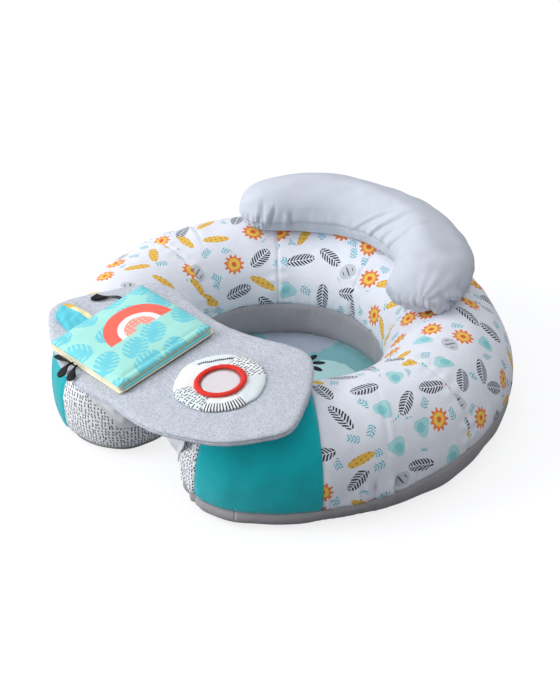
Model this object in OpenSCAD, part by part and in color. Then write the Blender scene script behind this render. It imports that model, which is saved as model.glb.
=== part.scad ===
// Baby floor seat: a padded horseshoe ring with a sewn-in seat floor,
// a kidney cushion that rests on the back of the ring, and a padded
// play tray over the two arm ends that carries a cloth book and a mirror.
// Millimetres. Origin on the floor at the ring's centre.
// +Z up, front (tray and gap between the arms) to -Y, back cushion to +Y.

/* [Node] */
// Sub-part to draw, or "all" for the whole assembly

/* [Ring] */
// Overall width of the padded ring
ring_od = 640; // [620:5:660]
// Half width of the padded tube, seen from above
tube_hw = 88.5; // [86:0.5:91]
// Height of the ring's crest above the floor
ring_h = 149.5; // [144:0.5:154]
// Angle from the front axis to the centre of each rounded arm end
arm_angle = 31.2; // [30:0.2:34]
// Angle from the front axis to the seam between printed and plain cover
print_seam = 50; // [47:1:53]
// Angle from the front axis to the seam of the right arm's dashed end cap
end_seam = 20; // [18:1:22]
// The same angle on the left arm, whose cap is sewn on further back
end_seam_left = 27; // [24:1:28]
// Height of the plain base band round the foot of the ring
base_h = 22; // [18:1:26]
// Thickness of the quilted cover fabric
skin = 1.2; // [1.0:0.1:1.6]

/* [Seat floor] */
// Thickness of the foam sheet in the seat floor
floor_foam_t = 9.5; // [8:0.5:11]

/* [Tray] */
// Width of the tray from side to side
tray_w = 440; // [428:2:450]
// Thickness of the padded tray
tray_t = 16; // [14:0.5:18]
// Forward slope of the tray in degrees
tray_tilt = 9; // [8:0.25:10]

/* [Back cushion] */
// Radius of the cushion's centre line round the ring's axis
cush_r = 230; // [226:1:234]
// Half width of the cushion, seen from above
cush_hw = 54; // [50:1:57]
// Half height of the cushion
cush_hh = 44; // [41:1:46]
// Angle that the cushion spans round the ring
cush_span = 120; // [114:1:124]

/* [Cloth book] */
// Size of the book across its pages
book_w = 147; // [140:1:150]
// Size of the book along its spine
book_l = 162; // [154:1:166]
// Thickness of each padded cover of the book
leaf_t = 4.4; // [4.0:0.1:4.6]

/* [Mirror] */
// Diameter of the round cloth panel under the mirror
disc_d = 110; // [104:1:114]
// Outer diameter of the raised ring round the mirror
rim_d = 62; // [58:1:66]

/* [Zip] */
// Angle that the cover's zip spans at the back
zip_span = 60; // [50:1:70]

/* [Hidden] */
$fn = 96;
gap = 0.35;                      // between a cover and what it wraps
air = 0.35;                      // between pieces that move apart
rc = ring_od/2 - tube_hw;        // radius of the tube's centre line
cz = ring_h - tube_hw;           // height of the widest part of the tube
up_h = ring_h - cz;              // half height of the upper tube
low_h = cz + 8;                  // half height of the lower tube, cut off flat
n_up = 2;                        // squareness of the upper section
n_low = 5;                       // squareness of the lower section
base_t = asin(pow((cz - base_h)/low_h, n_low/2));
arm_x = rc*sin(arm_angle);
arm_y = -rc*cos(arm_angle);
e = 0.01;

// ---- section of the padded tube --------------------------------------
function sg(v) = v < 0 ? -1 : 1;
// point of the tube's section at parameter t, drawn in by d all round
function sec(t, d) =
  let (n = sin(t) < 0 ? n_low : n_up, b = sin(t) < 0 ? low_h : up_h)
  [ (tube_hw - d)*sg(cos(t))*pow(abs(cos(t)), 2/n),
    max(d, cz + (b - d)*sg(sin(t))*pow(abs(sin(t)), 2/n)) ];
// curve from t0 to t1 in k steps
function curve(t0, t1, d, k) = [ for (i = [0:k]) sec(t0 + (t1 - t0)*i/k, d) ];
// closed strip between depths d0 and d1
function strip(t0, t1, d0, d1, k) =
  concat(curve(t0, t1, d0, k), curve(t1, t0, d1, k));

// sector of the ring between two angles from +X, for a section strip
module sweep(a0, a1) {
  rotate([0, 0, a0])
    rotate_extrude(angle = a1 - a0)
      translate([rc, 0])
        children();
}
// half turn round the arm end's own upright axis, right-hand arm
module end_turn() {
  translate([arm_x, arm_y, 0])
    rotate([0, 0, arm_angle - 270])
      rotate_extrude(angle = 180)
        children();
}
// sector round the arm end's axis, right-hand arm
module end_sector(a0, a1) {
  translate([arm_x, arm_y, 0])
    rotate([0, 0, a0])
      rotate_extrude(angle = a1 - a0)
        children();
}
// wedge on the far side of an end seam at angle a
module seam_keep(a) {
  rotate([0, 0, -90 + a])
    translate([0, 0, -5])
      cube([460, 460, ring_h + 30]);
}
// wedge on the front side of an end seam at angle a
module seam_drop(a) {
  rotate([0, 0, -180 + a])
    translate([0, 0, -5])
      cube([460, 460, ring_h + 30]);
}
module both_sides() {
  children();
  mirror([1, 0, 0])
    children();
}

// ---- ring ---------------------------------------------------------------
// fibre filling, stuffed in three lengths: the back and one along each arm;
// its section keeps the corners of the covers round it, a little further in
fill_d = skin + gap;
fill_sec = concat(
  curve(180, -base_t, fill_d, 24),
  curve(-base_t - 0.4, -180 + base_t + 0.4, fill_d, 22),
  curve(180 + base_t, 180.6, fill_d, 8));
fill_end = concat(
  curve(90, -base_t, fill_d, 14),
  curve(-base_t - 0.4, -90, fill_d, 11));
module fill_length(a0, a1) {
  sweep(a0, a1)
    polygon(fill_sec);
}
module fill_arm() {
  fill_length(-90 + arm_angle, 48);
  end_turn()
    polygon(fill_end);
}
module filling_back() {
  color([0.95, 0.95, 0.93])
    fill_length(48, 132);
}
module filling_right() {
  color([0.95, 0.95, 0.93])
    fill_arm();
}
module filling_left() {
  color([0.95, 0.95, 0.93])
    mirror([1, 0, 0])
      fill_arm();
}

module cover_print() {
  color([0.86, 0.88, 0.92])
    sweep(-90 + print_seam, 270 - print_seam)
      polygon(strip(180, -base_t, 0, skin, 24));
}

// plain cover of the right arm
module arm_cover(a) {
  sweep(-90 + arm_angle, -90 + print_seam)
    polygon(strip(180, -base_t, 0, skin, 24));
  intersection() {
    end_turn()
      polygon(strip(90, -base_t, 0, skin, 14));
    seam_keep(a);
  }
}
module cover_arm_right() {
  color([0.09, 0.51, 0.55])
    arm_cover(end_seam);
}
module cover_arm_left() {
  color([0.09, 0.51, 0.55])
    mirror([1, 0, 0])
      arm_cover(end_seam_left);
}

// dashed cap at the tip of the right arm
module end_cap(a) {
  intersection() {
    end_turn()
      polygon(strip(90, -base_t, 0, skin, 14));
    seam_drop(a);
  }
}
module cover_end_right() {
  color([0.88, 0.90, 0.92])
    end_cap(end_seam);
}
module cover_end_left() {
  color([0.88, 0.90, 0.92])
    mirror([1, 0, 0])
      end_cap(end_seam_left);
}

module inner_wall() {
  color([0.48, 0.49, 0.52])
    sweep(-90 + arm_angle, 270 - arm_angle)
      polygon(strip(180.6, 180 + base_t, 0, skin, 8));
}

module base_panel() {
  color([0.42, 0.41, 0.42]) {
    sweep(-90 + arm_angle, 270 - arm_angle)
      polygon(strip(-base_t - 0.4, -180 + base_t + 0.4, 0, skin, 22));
    both_sides()
      end_turn()
        polygon(strip(-base_t - 0.4, -90, 0, skin, 11));
  }
}

// ---- seat floor ---------------------------------------------------------
floor_top = floor_foam_t + 2.6;
floor_t = asin(pow((cz - floor_top)/low_h, n_low/2));
floor_r = rc + sec(180 + floor_t, 0)[0] - 0.2;
// radius of the hole through the base panel at height z, less a seam's width
function hole_r(z) =
  rc + sec(180 + asin(pow((cz - z)/low_h, n_low/2)), 0)[0] - 0.3;
module floor_cover() {
  color([0.38, 0.55, 0.59])
    rotate_extrude()
      polygon([[0, floor_top - 1.2], [floor_r - 14, floor_top - 1.2],
        [floor_r, floor_top - 3.6], [floor_r, floor_top - 2.4],
        [floor_r - 14, floor_top], [0, floor_top]]);
}
module floor_foam() {
  color([0.93, 0.92, 0.88])
    translate([0, 0, floor_top - 1.3 - floor_foam_t])
      difference() {
        cylinder(h = floor_foam_t, r = floor_r - 3);
        rotate_extrude()
          polygon([[floor_r - 14, floor_foam_t + e], [floor_r, floor_foam_t - 2.6],
            [floor_r, floor_foam_t + e]]);
      }
}
module floor_under() {
  color([0.42, 0.41, 0.42])
    rotate_extrude()
      polygon([[0, 0], [hole_r(0), 0], [hole_r(1.2), 1.2], [0, 1.2]]);
}

// ---- touch fasteners on the ring ------------------------------------------
// height of the ring's top at a distance x from the tube's centre line
function crest(x) =
  abs(x) >= tube_hw ? cz : cz + up_h*pow(1 - pow(abs(x)/tube_hw, n_up), 1/n_up);
// strip that lies on the ring's top from x0 to x1, between lifts d0 and d1
function laid(x0, x1, d0, d1, k) = concat(
  [ for (i = [0:k]) let (x = x0 + (x1 - x0)*i/k) [x, crest(x) + d0] ],
  [ for (i = [k:-1:0]) let (x = x0 + (x1 - x0)*i/k) [x, crest(x) + d1] ]);

module loop_tray() {
  end_sector(-125, -55)
    polygon(laid(3, 30, 0.05, 1, 8));
}
module loop_tray_right() {
  color([0.80, 0.82, 0.86])
    loop_tray();
}
module loop_tray_left() {
  color([0.80, 0.82, 0.86])
    mirror([1, 0, 0])
      loop_tray();
}
module loop_back_right() {
  color([0.80, 0.82, 0.86])
    sweep(57, 68)
      polygon(laid(-16, 14, 0.05, 1.1, 10));
}
module loop_back_left() {
  color([0.80, 0.82, 0.86])
    sweep(112, 123)
      polygon(laid(-16, 14, 0.05, 1.1, 10));
}

// ---- zip at the back --------------------------------------------------------
zip_mid = sec(-base_t, 0);
module zip_tape() {
  color([0.45, 0.45, 0.47])
    sweep(90 - zip_span/2, 90 + zip_span/2)
      polygon(strip(-base_t - 5, -base_t + 8, -0.9, -0.05, 4));
}
module zip_teeth() {
  color([0.62, 0.62, 0.64])
    sweep(90 - zip_span/2, 90 + zip_span/2)
      translate([zip_mid[0] + 1.2, base_h - 1.8])
        square([1.8, 3.6]);
}
slide_r = rc + zip_mid[0] + 3.4;
slide_at = 90 + zip_span/2 - 6;
// slider: face plate with two lugs and a pin across them
module slider_body() {
  translate([-4.2, slide_r, base_h - 5.5])
    cube([8.4, 1.8, 11]);
  translate([-3.4, slide_r + 1.7, base_h + 0.4])
    cube([1.2, 2.8, 2.6]);
  translate([2.2, slide_r + 1.7, base_h + 0.4])
    cube([1.2, 2.8, 2.6]);
  translate([-3.3, slide_r + 3.4, base_h + 1.7])
    rotate([0, 90, 0])
      cylinder(h = 6.6, d = 1.3);
}
module zip_slider() {
  color([0.66, 0.67, 0.70])
    rotate([0, 0, slide_at - 90])
      slider_body();
}
module pull_body() {
  difference() {
    union() {
      translate([-1.7, slide_r + 3.4, base_h + 1.7])
        rotate([0, 90, 0])
          cylinder(h = 3.4, d = 3);
      translate([-1.7, slide_r + 2.9, base_h - 13])
        cube([3.4, 1.1, 14]);
    }
    translate([-4, slide_r + 3.4, base_h + 1.7])
      rotate([0, 90, 0])
        cylinder(h = 8, d = 1.9);
  }
}
module zip_pull() {
  color([0.66, 0.67, 0.70])
    rotate([0, 0, slide_at - 90])
      pull_body();
}

// ---- tray ---------------------------------------------------------------------
// The tray is drawn flat with its top at w = 0, then sloped and lifted.
// Its underside meets the arm ends where their tops are as steep as the tray.
touch_z = max([ for (x = [0:0.5:60]) crest(x) + x*tan(tray_tilt) ]);
tray_z = touch_z + 2.4 + tray_t/cos(tray_tilt);
module on_tray() {
  translate([0, arm_y, tray_z])
    rotate([tray_tilt, 0, 0])
      translate([0, -arm_y, 0])
        children();
}
tcy = -226;
tray_x = 13;                     // the tray sits a little towards +X
k_w = tray_w/438;
// right half of the tray's outline, from the front to the baby's side
half_out = [[0, -336], [38, -335], [72, -331], [105, -320], [138, -303.5],
  [169, -283], [197, -260], [212, -244], [217, -230], [213, -211],
  [201, -191], [180, -160], [159, -131], [141, -114], [122, -108.5],
  [99, -110.5], [70, -118], [35, -125], [0, -127.5]];
n_half = len(half_out);
raw_out = concat(
  half_out,
  [ for (i = [n_half - 2:-1:1]) [-half_out[i][0], half_out[i][1]] ]);
n_raw = len(raw_out);
function rp(i) = raw_out[(i + n_raw) % n_raw];
// smooth closed curve through the outline's points
function smooth(i, u) =
  let (a = rp(i - 1), b = rp(i), c = rp(i + 1), d = rp(i + 2))
  0.5*(2*b + (c - a)*u + (2*a - 5*b + 4*c - d)*u*u + (3*b - a - 3*c + d)*u*u*u);
t_out = [ for (i = [0:n_raw - 1]) for (j = [0:1])
  let (p = smooth(i, j/2)) [p[0]*k_w + tray_x, p[1]] ];
n_out = len(t_out);
// outline point drawn in by d millimetres towards the tray's middle
function ins(i, d) =
  let (v = [t_out[i][0] - tray_x, t_out[i][1] - tcy], l = norm(v))
  [tray_x + v[0]*(1 - d/l), tcy + v[1]*(1 - d/l)];
function outline(d) = [ for (i = [0:n_out - 1]) ins(i, d) ];

// dome of the top cover: inset from the outline, drop below w = 0
dome = [[0, -6], [0.8, -3.4], [3, -1.5], [7.5, -0.35], [13, 0]];
n_dome = len(dome);
function dome_ring(k, d) = [ for (i = [0:n_out - 1])
  let (p = ins(i, dome[k][0] + d)) [p[0], p[1], dome[k][1] - (k == 0 ? 0 : d)] ];
module tray_top_cover() {
  m = n_out;
  q = n_dome*m;
  pts = concat(
    [ for (k = [0:n_dome - 1]) each dome_ring(k, 0) ],
    [ for (k = [0:n_dome - 1]) each dome_ring(k, skin) ],
    [[tray_x, tcy, 0], [tray_x, tcy, -skin]]);
  faces = concat(
    [ for (k = [0:n_dome - 2]) for (i = [0:m - 1]) let (j = (i + 1) % m)
      [k*m + i, (k + 1)*m + i, (k + 1)*m + j, k*m + j] ],
    [ for (i = [0:m - 1]) [q - m + i, 2*q, q - m + (i + 1) % m] ],
    [ for (k = [0:n_dome - 2]) for (i = [0:m - 1]) let (j = (i + 1) % m)
      [q + k*m + i, q + k*m + j, q + (k + 1)*m + j, q + (k + 1)*m + i] ],
    [ for (i = [0:m - 1]) [2*q - m + i, 2*q - m + (i + 1) % m, 2*q + 1] ],
    [ for (i = [0:m - 1]) let (j = (i + 1) % m) [i, j, q + j, q + i] ]);
  color([0.76, 0.79, 0.84])
    on_tray()
      polyhedron(points = pts, faces = faces, convexity = 4);
}
module tray_side_band() {
  color([0.74, 0.77, 0.82])
    on_tray()
      translate([0, 0, skin - tray_t])
        difference() {
          linear_extrude(height = tray_t - skin - 6)
            polygon(outline(0));
          translate([0, 0, -1])
            linear_extrude(height = tray_t)
              polygon(outline(skin));
        }
}
module tray_bottom_cover() {
  color([0.70, 0.73, 0.78])
    on_tray()
      translate([0, 0, -tray_t])
        linear_extrude(height = skin)
          polygon(outline(0));
}
module tray_foam() {
  color([0.93, 0.92, 0.88])
    on_tray() {
      translate([0, 0, skin + 0.1 - tray_t])
        linear_extrude(height = tray_t - skin - 6.3)
          polygon(outline(skin + 0.4));
      translate([0, 0, -6.5])
        linear_extrude(height = 6.3 - skin - 0.6)
          polygon(outline(11));
    }
}
module hook_tray() {
  on_tray()
    translate([arm_x - 14, arm_y - 24, -tray_t - 0.9])
      cube([28, 24, 0.9]);
}
module hook_tray_right() {
  color([0.78, 0.80, 0.84])
    hook_tray();
}
module hook_tray_left() {
  color([0.78, 0.80, 0.84])
    mirror([1, 0, 0])
      hook_tray();
}
// fabric tab that hangs from the tray over the inner side of the arm's end
tab_h = touch_z - 26*tan(tray_tilt) - crest(41) - 0.6;
module tab() {
  end_sector(-152, -128)
    polygon(strip(69, 12, -2.8, -1.5, 9));
  on_tray()
    translate([arm_x, arm_y, -tray_t - tab_h])
      rotate([0, 0, -140])
        translate([39.6, -8, 0])
          cube([2.6, 16, tab_h]);
}
module tab_right() {
  color([0.80, 0.82, 0.86])
    tab();
}
module tab_left() {
  color([0.80, 0.82, 0.86])
    mirror([1, 0, 0])
      tab();
}

// ---- mirror panel -----------------------------------------------------------
module on_disc() {
  on_tray()
    translate([96, -222, 0])
      children();
}
module disc_pad() {
  color([0.92, 0.94, 0.96])
    on_disc()
      rotate_extrude()
        polygon([[0, 0], [disc_d/2 - 1.5, 0], [disc_d/2, 1], [disc_d/2 - 0.6, 2.2],
          [disc_d/2 - 4, 3.8], [disc_d/2 - 10, 4.6], [rim_d/2 + 1, 5], [0, 5]]);
}
module mirror_film() {
  color([0.88, 0.87, 0.88])
    on_disc()
      translate([0, 0, 5])
        cylinder(h = 0.8, r = rim_d/2 - 4.8);
}
// section of the red roll, pressed flat where it lies on film and panel
function rim_low(a) = cos(a) < 0 ? 5.85 : 5.05;
function rim_pt(a) =
  [rim_d/2 - 4 + 4*cos(a), max(rim_low(a), 7.2 + 2.2*sin(a))];
module mirror_rim() {
  color([0.86, 0.20, 0.18])
    on_disc()
      rotate_extrude()
        polygon([ for (a = [0:20:340]) rim_pt(a) ]);
}

// ---- cloth book ---------------------------------------------------------------
page_t = 3;
module on_book() {
  on_tray()
    translate([-61, -229, 0])
      rotate([0, 0, -5])
        children();
}
// padded leaf with rounded corners and soft edges; u from u0 to u1
function corner(cx, cy, r, a0) =
  [ for (k = [0:5]) [cx + r*cos(a0 + 18*k), cy + r*sin(a0 + 18*k)] ];
function leaf_out(u0, u1, hl, r, d) = concat(
  corner(u1 - r, r - hl, r - d, -90), corner(u1 - r, hl - r, r - d, 0),
  corner(u0 + r, hl - r, r - d, 90), corner(u0 + r, r - hl, r - d, 180));
module leaf(u0, u1, hl, t) {
  edge = [[2.6, 0], [0.7, 0.22*t], [0, 0.5*t], [0.7, 0.78*t], [2.6, t]];
  m = 24;
  nk = len(edge);
  pts = concat(
    [ for (k = [0:nk - 1]) each
      [ for (p = leaf_out(u0, u1, hl, 7, edge[k][0])) [p[0], p[1], edge[k][1]] ] ],
    [[(u0 + u1)/2, 0, 0], [(u0 + u1)/2, 0, t]]);
  faces = concat(
    [ for (k = [0:nk - 2]) for (i = [0:m - 1]) let (j = (i + 1) % m)
      [k*m + i, (k + 1)*m + i, (k + 1)*m + j, k*m + j] ],
    [ for (i = [0:m - 1]) [i, (i + 1) % m, nk*m] ],
    [ for (i = [0:m - 1]) [(nk - 1)*m + i, nk*m + 1, (nk - 1)*m + (i + 1) % m] ]);
  polyhedron(points = pts, faces = faces, convexity = 2);
}
bu = book_w/2;
bl = book_l/2;
module book_back_cover() {
  color([0.56, 0.86, 0.86])
    on_book()
      leaf(-bu, bu, bl, leaf_t);
}
module book_page_lower() {
  color([0.95, 0.93, 0.82])
    on_book()
      translate([0, 0, leaf_t + 0.3])
        leaf(3 - bu, bu - 2.5, bl - 2, page_t);
}
module book_page_upper() {
  color([0.95, 0.93, 0.82])
    on_book()
      translate([0, 0, leaf_t + 0.6 + page_t])
        leaf(2 - bu, bu - 2.5, bl - 2, page_t);
}
module book_front_cover() {
  color([0.56, 0.86, 0.86])
    on_book()
      translate([0, 0, leaf_t + 0.9 + 2*page_t])
        leaf(-bu, bu - 2, bl, leaf_t);
}
// sewn spine: a strip up from the back cover to the roll that the leaves turn on
fold_w = leaf_t + 0.6 + page_t;
module book_spine() {
  color([0.45, 0.78, 0.80])
    on_book() {
      translate([bu + 0.05, 8 - bl, 0])
        cube([1.2, 2*bl - 16, leaf_t + page_t]);
      translate([bu, bl - 8, fold_w])
        rotate([90, 0, 0])
          cylinder(h = 2*bl - 16, d = 4.2);
    }
}
// teardrop outline of a petal, pointing along +X
function petal(l, w) = [ for (a = [0:15:345])
  [l/2 - l/2*cos(a), w/2*sin(a)*sin(a/2)] ];
module petal_flat(l, w, t) {
  linear_extrude(height = t)
    polygon(petal(l, w));
}
// three petal tags sewn to the front edge of the book's back cover
module book_tags() {
  color([0.07, 0.07, 0.08])
    on_book()
      translate([-20, -bl, 0.4]) {
        translate([-3, -2.2, 0])
          cube([22, 2.1, 1.4]);
        for (k = [-1:1])
          translate([8 + 5*k, -0.6, 0])
            rotate([0, 0, -98 + 26*k])
              petal_flat(26, 12, 1.4);
      }
}
// black ribbon tab at the book's open edge
module book_ribbon() {
  color([0.07, 0.07, 0.08])
    on_book()
      translate([-bu - 16, 42, 0.4])
        cube([15.9, 9, 1.4]);
}
// printed crackle flap that sticks out from under the open edge
module book_flap() {
  color([0.36, 0.80, 0.85])
    on_book()
      translate([-bu - 0.1, -8, 0])
        intersection() {
          cylinder(h = 1.6, r = 36);
          translate([-40, -30, -1])
            cube([40, 60, 4]);
        }
}

// ---- back cushion ---------------------------------------------------------------
cush_z = ring_h + 33;
arc_half = cush_span/2;
// fullness along the cushion, blunt at both ends
function full(u) = pow(1 - pow(abs(u), 3.4), 1/2.1);
function cush_mid(u, d) = let (th = 88.7 + arc_half*u*(1 - d/300))
  [th, cush_r + 17.7*u - 22.9*u*u, cush_z - 8*u*u];
// point at u along the cushion and angle a round it, drawn in by d;
// the underside follows the ring's top, and the +X end is the fuller one
function cush_pt(u, a, d) =
  let (f = full(u), m = cush_mid(u, d),
    hw = (cush_hw - 11.3*u + 10.6*u*u)*f - d,
    hh = (cush_hh + 2.6*u)*pow(f, 0.9) - d,
    r = m[1] + hw*sg(cos(a))*pow(abs(cos(a)), 0.93),
    z = m[2] + hh*sg(sin(a))*pow(abs(sin(a)), 0.93))
  [r*cos(m[0]), r*sin(m[0]), max(z, crest(r - rc) + 3.4 + d)];
module cush_solid(ns, na, d) {
  us = [ for (i = [1:ns - 1]) sin(-90 + 180*i/ns) ];
  nr = len(us);
  pts = concat(
    [ for (i = [0:nr - 1]) for (j = [0:na - 1]) cush_pt(us[i], 360*j/na, d) ],
    [ cush_end(-1, d), cush_end(1, d) ]);
  faces = concat(
    [ for (i = [0:nr - 2]) for (j = [0:na - 1]) let (k = (j + 1) % na)
      [i*na + j, i*na + k, (i + 1)*na + k, (i + 1)*na + j] ],
    [ for (j = [0:na - 1]) [(j + 1) % na, j, nr*na] ],
    [ for (j = [0:na - 1]) [(nr - 1)*na + j, (nr - 1)*na + (j + 1) % na, nr*na + 1] ]);
  polyhedron(points = pts, faces = faces, convexity = 4);
}
function cush_end(s, d) = let (m = cush_mid(s, d))
  [m[1]*cos(m[0]), m[1]*sin(m[0]), m[2]];
module cushion_cover() {
  color([0.81, 0.83, 0.87])
    difference() {
      cush_solid(34, 28, 0);
      cush_solid(18, 16, skin + 0.4);
    }
}
module cushion_filling() {
  color([0.95, 0.95, 0.93])
    cush_solid(18, 16, skin + 0.7);
}
module hook_back_right() {
  color([0.78, 0.80, 0.84])
    sweep(57.5, 67.5)
      polygon(laid(-15, 13, 1.5, 2.9, 10));
}
module hook_back_left() {
  color([0.78, 0.80, 0.84])
    sweep(112.5, 122.5)
      polygon(laid(-15, 13, 1.5, 2.9, 10));
}

filling_back();
filling_right();
filling_left();
cover_print();
cover_arm_right();
cover_arm_left();
cover_end_right();
cover_end_left();
inner_wall();
base_panel();
floor_cover();
floor_foam();
floor_under();
loop_tray_right();
loop_tray_left();
loop_back_right();
loop_back_left();
zip_tape();
zip_teeth();
zip_slider();
zip_pull();
tray_top_cover();
tray_side_band();
tray_bottom_cover();
tray_foam();
hook_tray_right();
hook_tray_left();
tab_right();
tab_left();
disc_pad();
mirror_film();
mirror_rim();
book_back_cover();
book_spine();
book_page_lower();
book_page_upper();
book_front_cover();
book_tags();
book_ribbon();
book_flap();
cushion_cover();
cushion_filling();
hook_back_right();
hook_back_left();
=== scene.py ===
"""Looks of a padded baby floor seat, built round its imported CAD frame.

The seat is a stuffed horseshoe ring in printed knit with plain plush arms, a sewn-in
floor, a kidney cushion on the back of the ring and a padded play tray over the arm
ends that carries a cloth book and a mirror panel. Sizes are millimetres in the CAD
frame: origin on the floor at the ring's centre, front to -Y, up +Z.
"""

import logging
import math
from dataclasses import dataclass, field
from enum import Enum
from functools import partialmethod
from typing import Any, Callable, Sequence

import bmesh
import bpy
import numpy as np
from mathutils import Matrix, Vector


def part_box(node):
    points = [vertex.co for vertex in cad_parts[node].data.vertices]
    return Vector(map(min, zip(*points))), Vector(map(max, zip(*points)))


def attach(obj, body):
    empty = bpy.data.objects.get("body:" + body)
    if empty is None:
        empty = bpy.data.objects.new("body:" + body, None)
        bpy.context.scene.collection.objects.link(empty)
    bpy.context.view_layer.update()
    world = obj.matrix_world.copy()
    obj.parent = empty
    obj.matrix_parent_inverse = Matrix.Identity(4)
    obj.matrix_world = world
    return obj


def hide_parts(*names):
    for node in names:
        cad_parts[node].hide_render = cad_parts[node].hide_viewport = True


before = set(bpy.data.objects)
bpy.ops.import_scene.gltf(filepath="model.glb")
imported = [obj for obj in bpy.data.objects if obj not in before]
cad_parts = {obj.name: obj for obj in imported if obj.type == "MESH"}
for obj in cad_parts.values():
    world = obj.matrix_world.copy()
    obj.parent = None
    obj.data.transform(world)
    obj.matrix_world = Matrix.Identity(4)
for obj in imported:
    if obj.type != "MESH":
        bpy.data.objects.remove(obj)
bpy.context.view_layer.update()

MM = 0.001
FLAT = "cloth_mm"
CUT_Z = 25  # height in mm where the planes of the arms' end seams meet the axis
FAR = 500.0  # a distance in mm at which no seam is felt
LOG = logging.getLogger("floor_seat")
Array = np.ndarray
Socket = bpy.types.NodeSocket
Tree = bpy.types.NodeTree
Piece = bpy.types.Object


# ---- helpers -------------------------------------------------------------------


def linear(code: str) -> tuple[float, float, float, float]:
    """Turns an sRGB hex colour into linear light.

    Args:
        code: Colour such as "#a0b0c0".

    Returns:
        Linear red, green, blue and an alpha of 1.
    """
    parts = [int(code[i:i + 2], 16) / 255 for i in (1, 3, 5)]
    light = [p / 12.92 if p <= 0.04045 else ((p + 0.055) / 1.055) ** 2.4 for p in parts]
    return (light[0], light[1], light[2], 1.0)


def put(home: Tree | Socket, kind: str, feeds: dict[Any, Any] | None = None,
        out: Any = 0, **settings: Any) -> Any:
    """Adds a node with its settings and links.

    Args:
        home: Node tree of the material or world, or a socket in it.
        kind: Blender's name of the node type.
        feeds: Input name or index to a socket or Number to link or a value to set.
        out: Output that the caller wants.
        **settings: Properties of the node.

    Returns:
        The chosen output socket, or None for a node without outputs.
    """
    tree = home.id_data
    node = tree.nodes.new(kind)
    for key, value in settings.items():
        setattr(node, key, value)
    for key, value in (feeds or {}).items():
        value = value.socket if isinstance(value, Number) else value
        if isinstance(value, Socket):
            tree.links.new(value, node.inputs[key])
        else:
            node.inputs[key].default_value = value
    return node.outputs[out] if len(node.outputs) else None


def fresh_tree(owner: Any) -> Tree:
    """Empty node tree of a new material or world."""
    owner.use_nodes = True
    owner.node_tree.nodes.clear()
    return owner.node_tree


def add_object(name: str, data: Any) -> Piece:
    """Puts a new object with this mesh, lamp or camera into the scene."""
    piece = bpy.data.objects.new(name, data)
    bpy.context.scene.collection.objects.link(piece)
    return piece


def vectors(items: Any, key: str) -> Array:
    """Vectors of a mesh's points or normals, one to a row."""
    flat = np.zeros(len(items) * 3)
    items.foreach_get(key, flat)
    return flat.reshape(-1, 3)


@dataclass(frozen=True, eq=False)
class Number:
    """A number in a material; an operator on it adds the node that works it out."""

    socket: Socket

    def step(self, operation: str, *terms: Any) -> "Number":
        """Puts the number, and the terms after it, through one math node."""
        feeds = dict(enumerate((self, *terms)))
        return Number(put(self.socket, "ShaderNodeMath", feeds, operation=operation))

    def ranged(self, *limits: float) -> "Number":
        """Maps the number from a low and high to another low and high, or to 0 and 1."""
        return Number(put(self.socket, "ShaderNodeMapRange",
                          dict(enumerate((self, *limits)))))

    __add__ = partialmethod(step, "ADD")
    __sub__ = partialmethod(step, "SUBTRACT")
    __mul__ = partialmethod(step, "MULTIPLY")
    __truediv__ = partialmethod(step, "DIVIDE")
    __lt__ = partialmethod(step, "LESS_THAN")
    __gt__ = partialmethod(step, "GREATER_THAN")
    __or__ = partialmethod(step, "MAXIMUM")
    __mod__ = partialmethod(step, "MODULO")
    __abs__ = partialmethod(step, "ABSOLUTE")
    sine = partialmethod(step, "SINE")
    cosine = partialmethod(step, "COSINE")
    to_and_fro = partialmethod(step, "PINGPONG")


def oval(x: Number, y: Number, wide: float = 1.0, tall: float = 1.0) -> Number:
    """Squared distance from the middle of an oval with these half sizes; 1 on its edge."""
    u, v = x / wide, y / tall
    return u * u + v * v


def vector(operation: str, place: Socket, *terms: Any, out: Any = 0) -> Socket:
    """Puts a place, and the terms after it, through one vector node."""
    return put(place, "ShaderNodeVectorMath", dict(enumerate((place, *terms))), out,
               operation=operation)


def scaled(home: Tree | Socket, value: Any, factor: Any) -> Socket:
    """A colour or place times a factor."""
    return put(home, "ShaderNodeVectorMath", {0: value, "Scale": factor},
               operation="SCALE")


def noise(place: Socket, scale: float, detail: float, out: Any = 0) -> Socket:
    """Soft noise at a place, with a scale in patches to its unit of length."""
    return put(place, "ShaderNodeTexNoise", {
        "Vector": place, "Scale": scale, "Detail": detail}, out)


def wandered(flat: Socket, patch_mm: float, detail: float, reach: float) -> Socket:
    """A place on the flat cloth moved about as a line drawn by hand wanders."""
    sway = noise(flat, 1 / patch_mm, detail, "Color")
    return vector("MULTIPLY_ADD", sway, (reach, reach, 0.0), flat)


def measured(place: Socket) -> tuple[Number, ...]:
    """x and y of a place, its distance from the origin and its angle there."""
    x, y, _ = map(Number, put(place, "ShaderNodeSeparateXYZ", {0: place}).node.outputs)
    return x, y, Number(vector("LENGTH", place, out="Value")), y.step("ARCTAN2", x)


def ripple(points: Array, wave_mm: float, seed: int, waves: int = 10) -> Array:
    """Smooth uneven relief of about -1 to 1, a sum of waves in all directions.

    Args:
        points: Places in millimetres, with coordinates on the last axis.
        wave_mm: Typical distance from crest to crest.
        seed: Seed of the waves' directions and phases.
        waves: How many waves are added.

    Returns:
        The relief at each point.
    """
    rng = np.random.default_rng(seed)
    total = np.zeros(points.shape[:-1])
    for _ in range(waves):
        way = rng.normal(size=points.shape[-1])
        way *= 2 * math.pi / (wave_mm * rng.uniform(0.7, 1.5)) / np.linalg.norm(way)
        total += np.sin(points @ way + rng.uniform(0, 2 * math.pi))
    return total / math.sqrt(waves)


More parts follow.
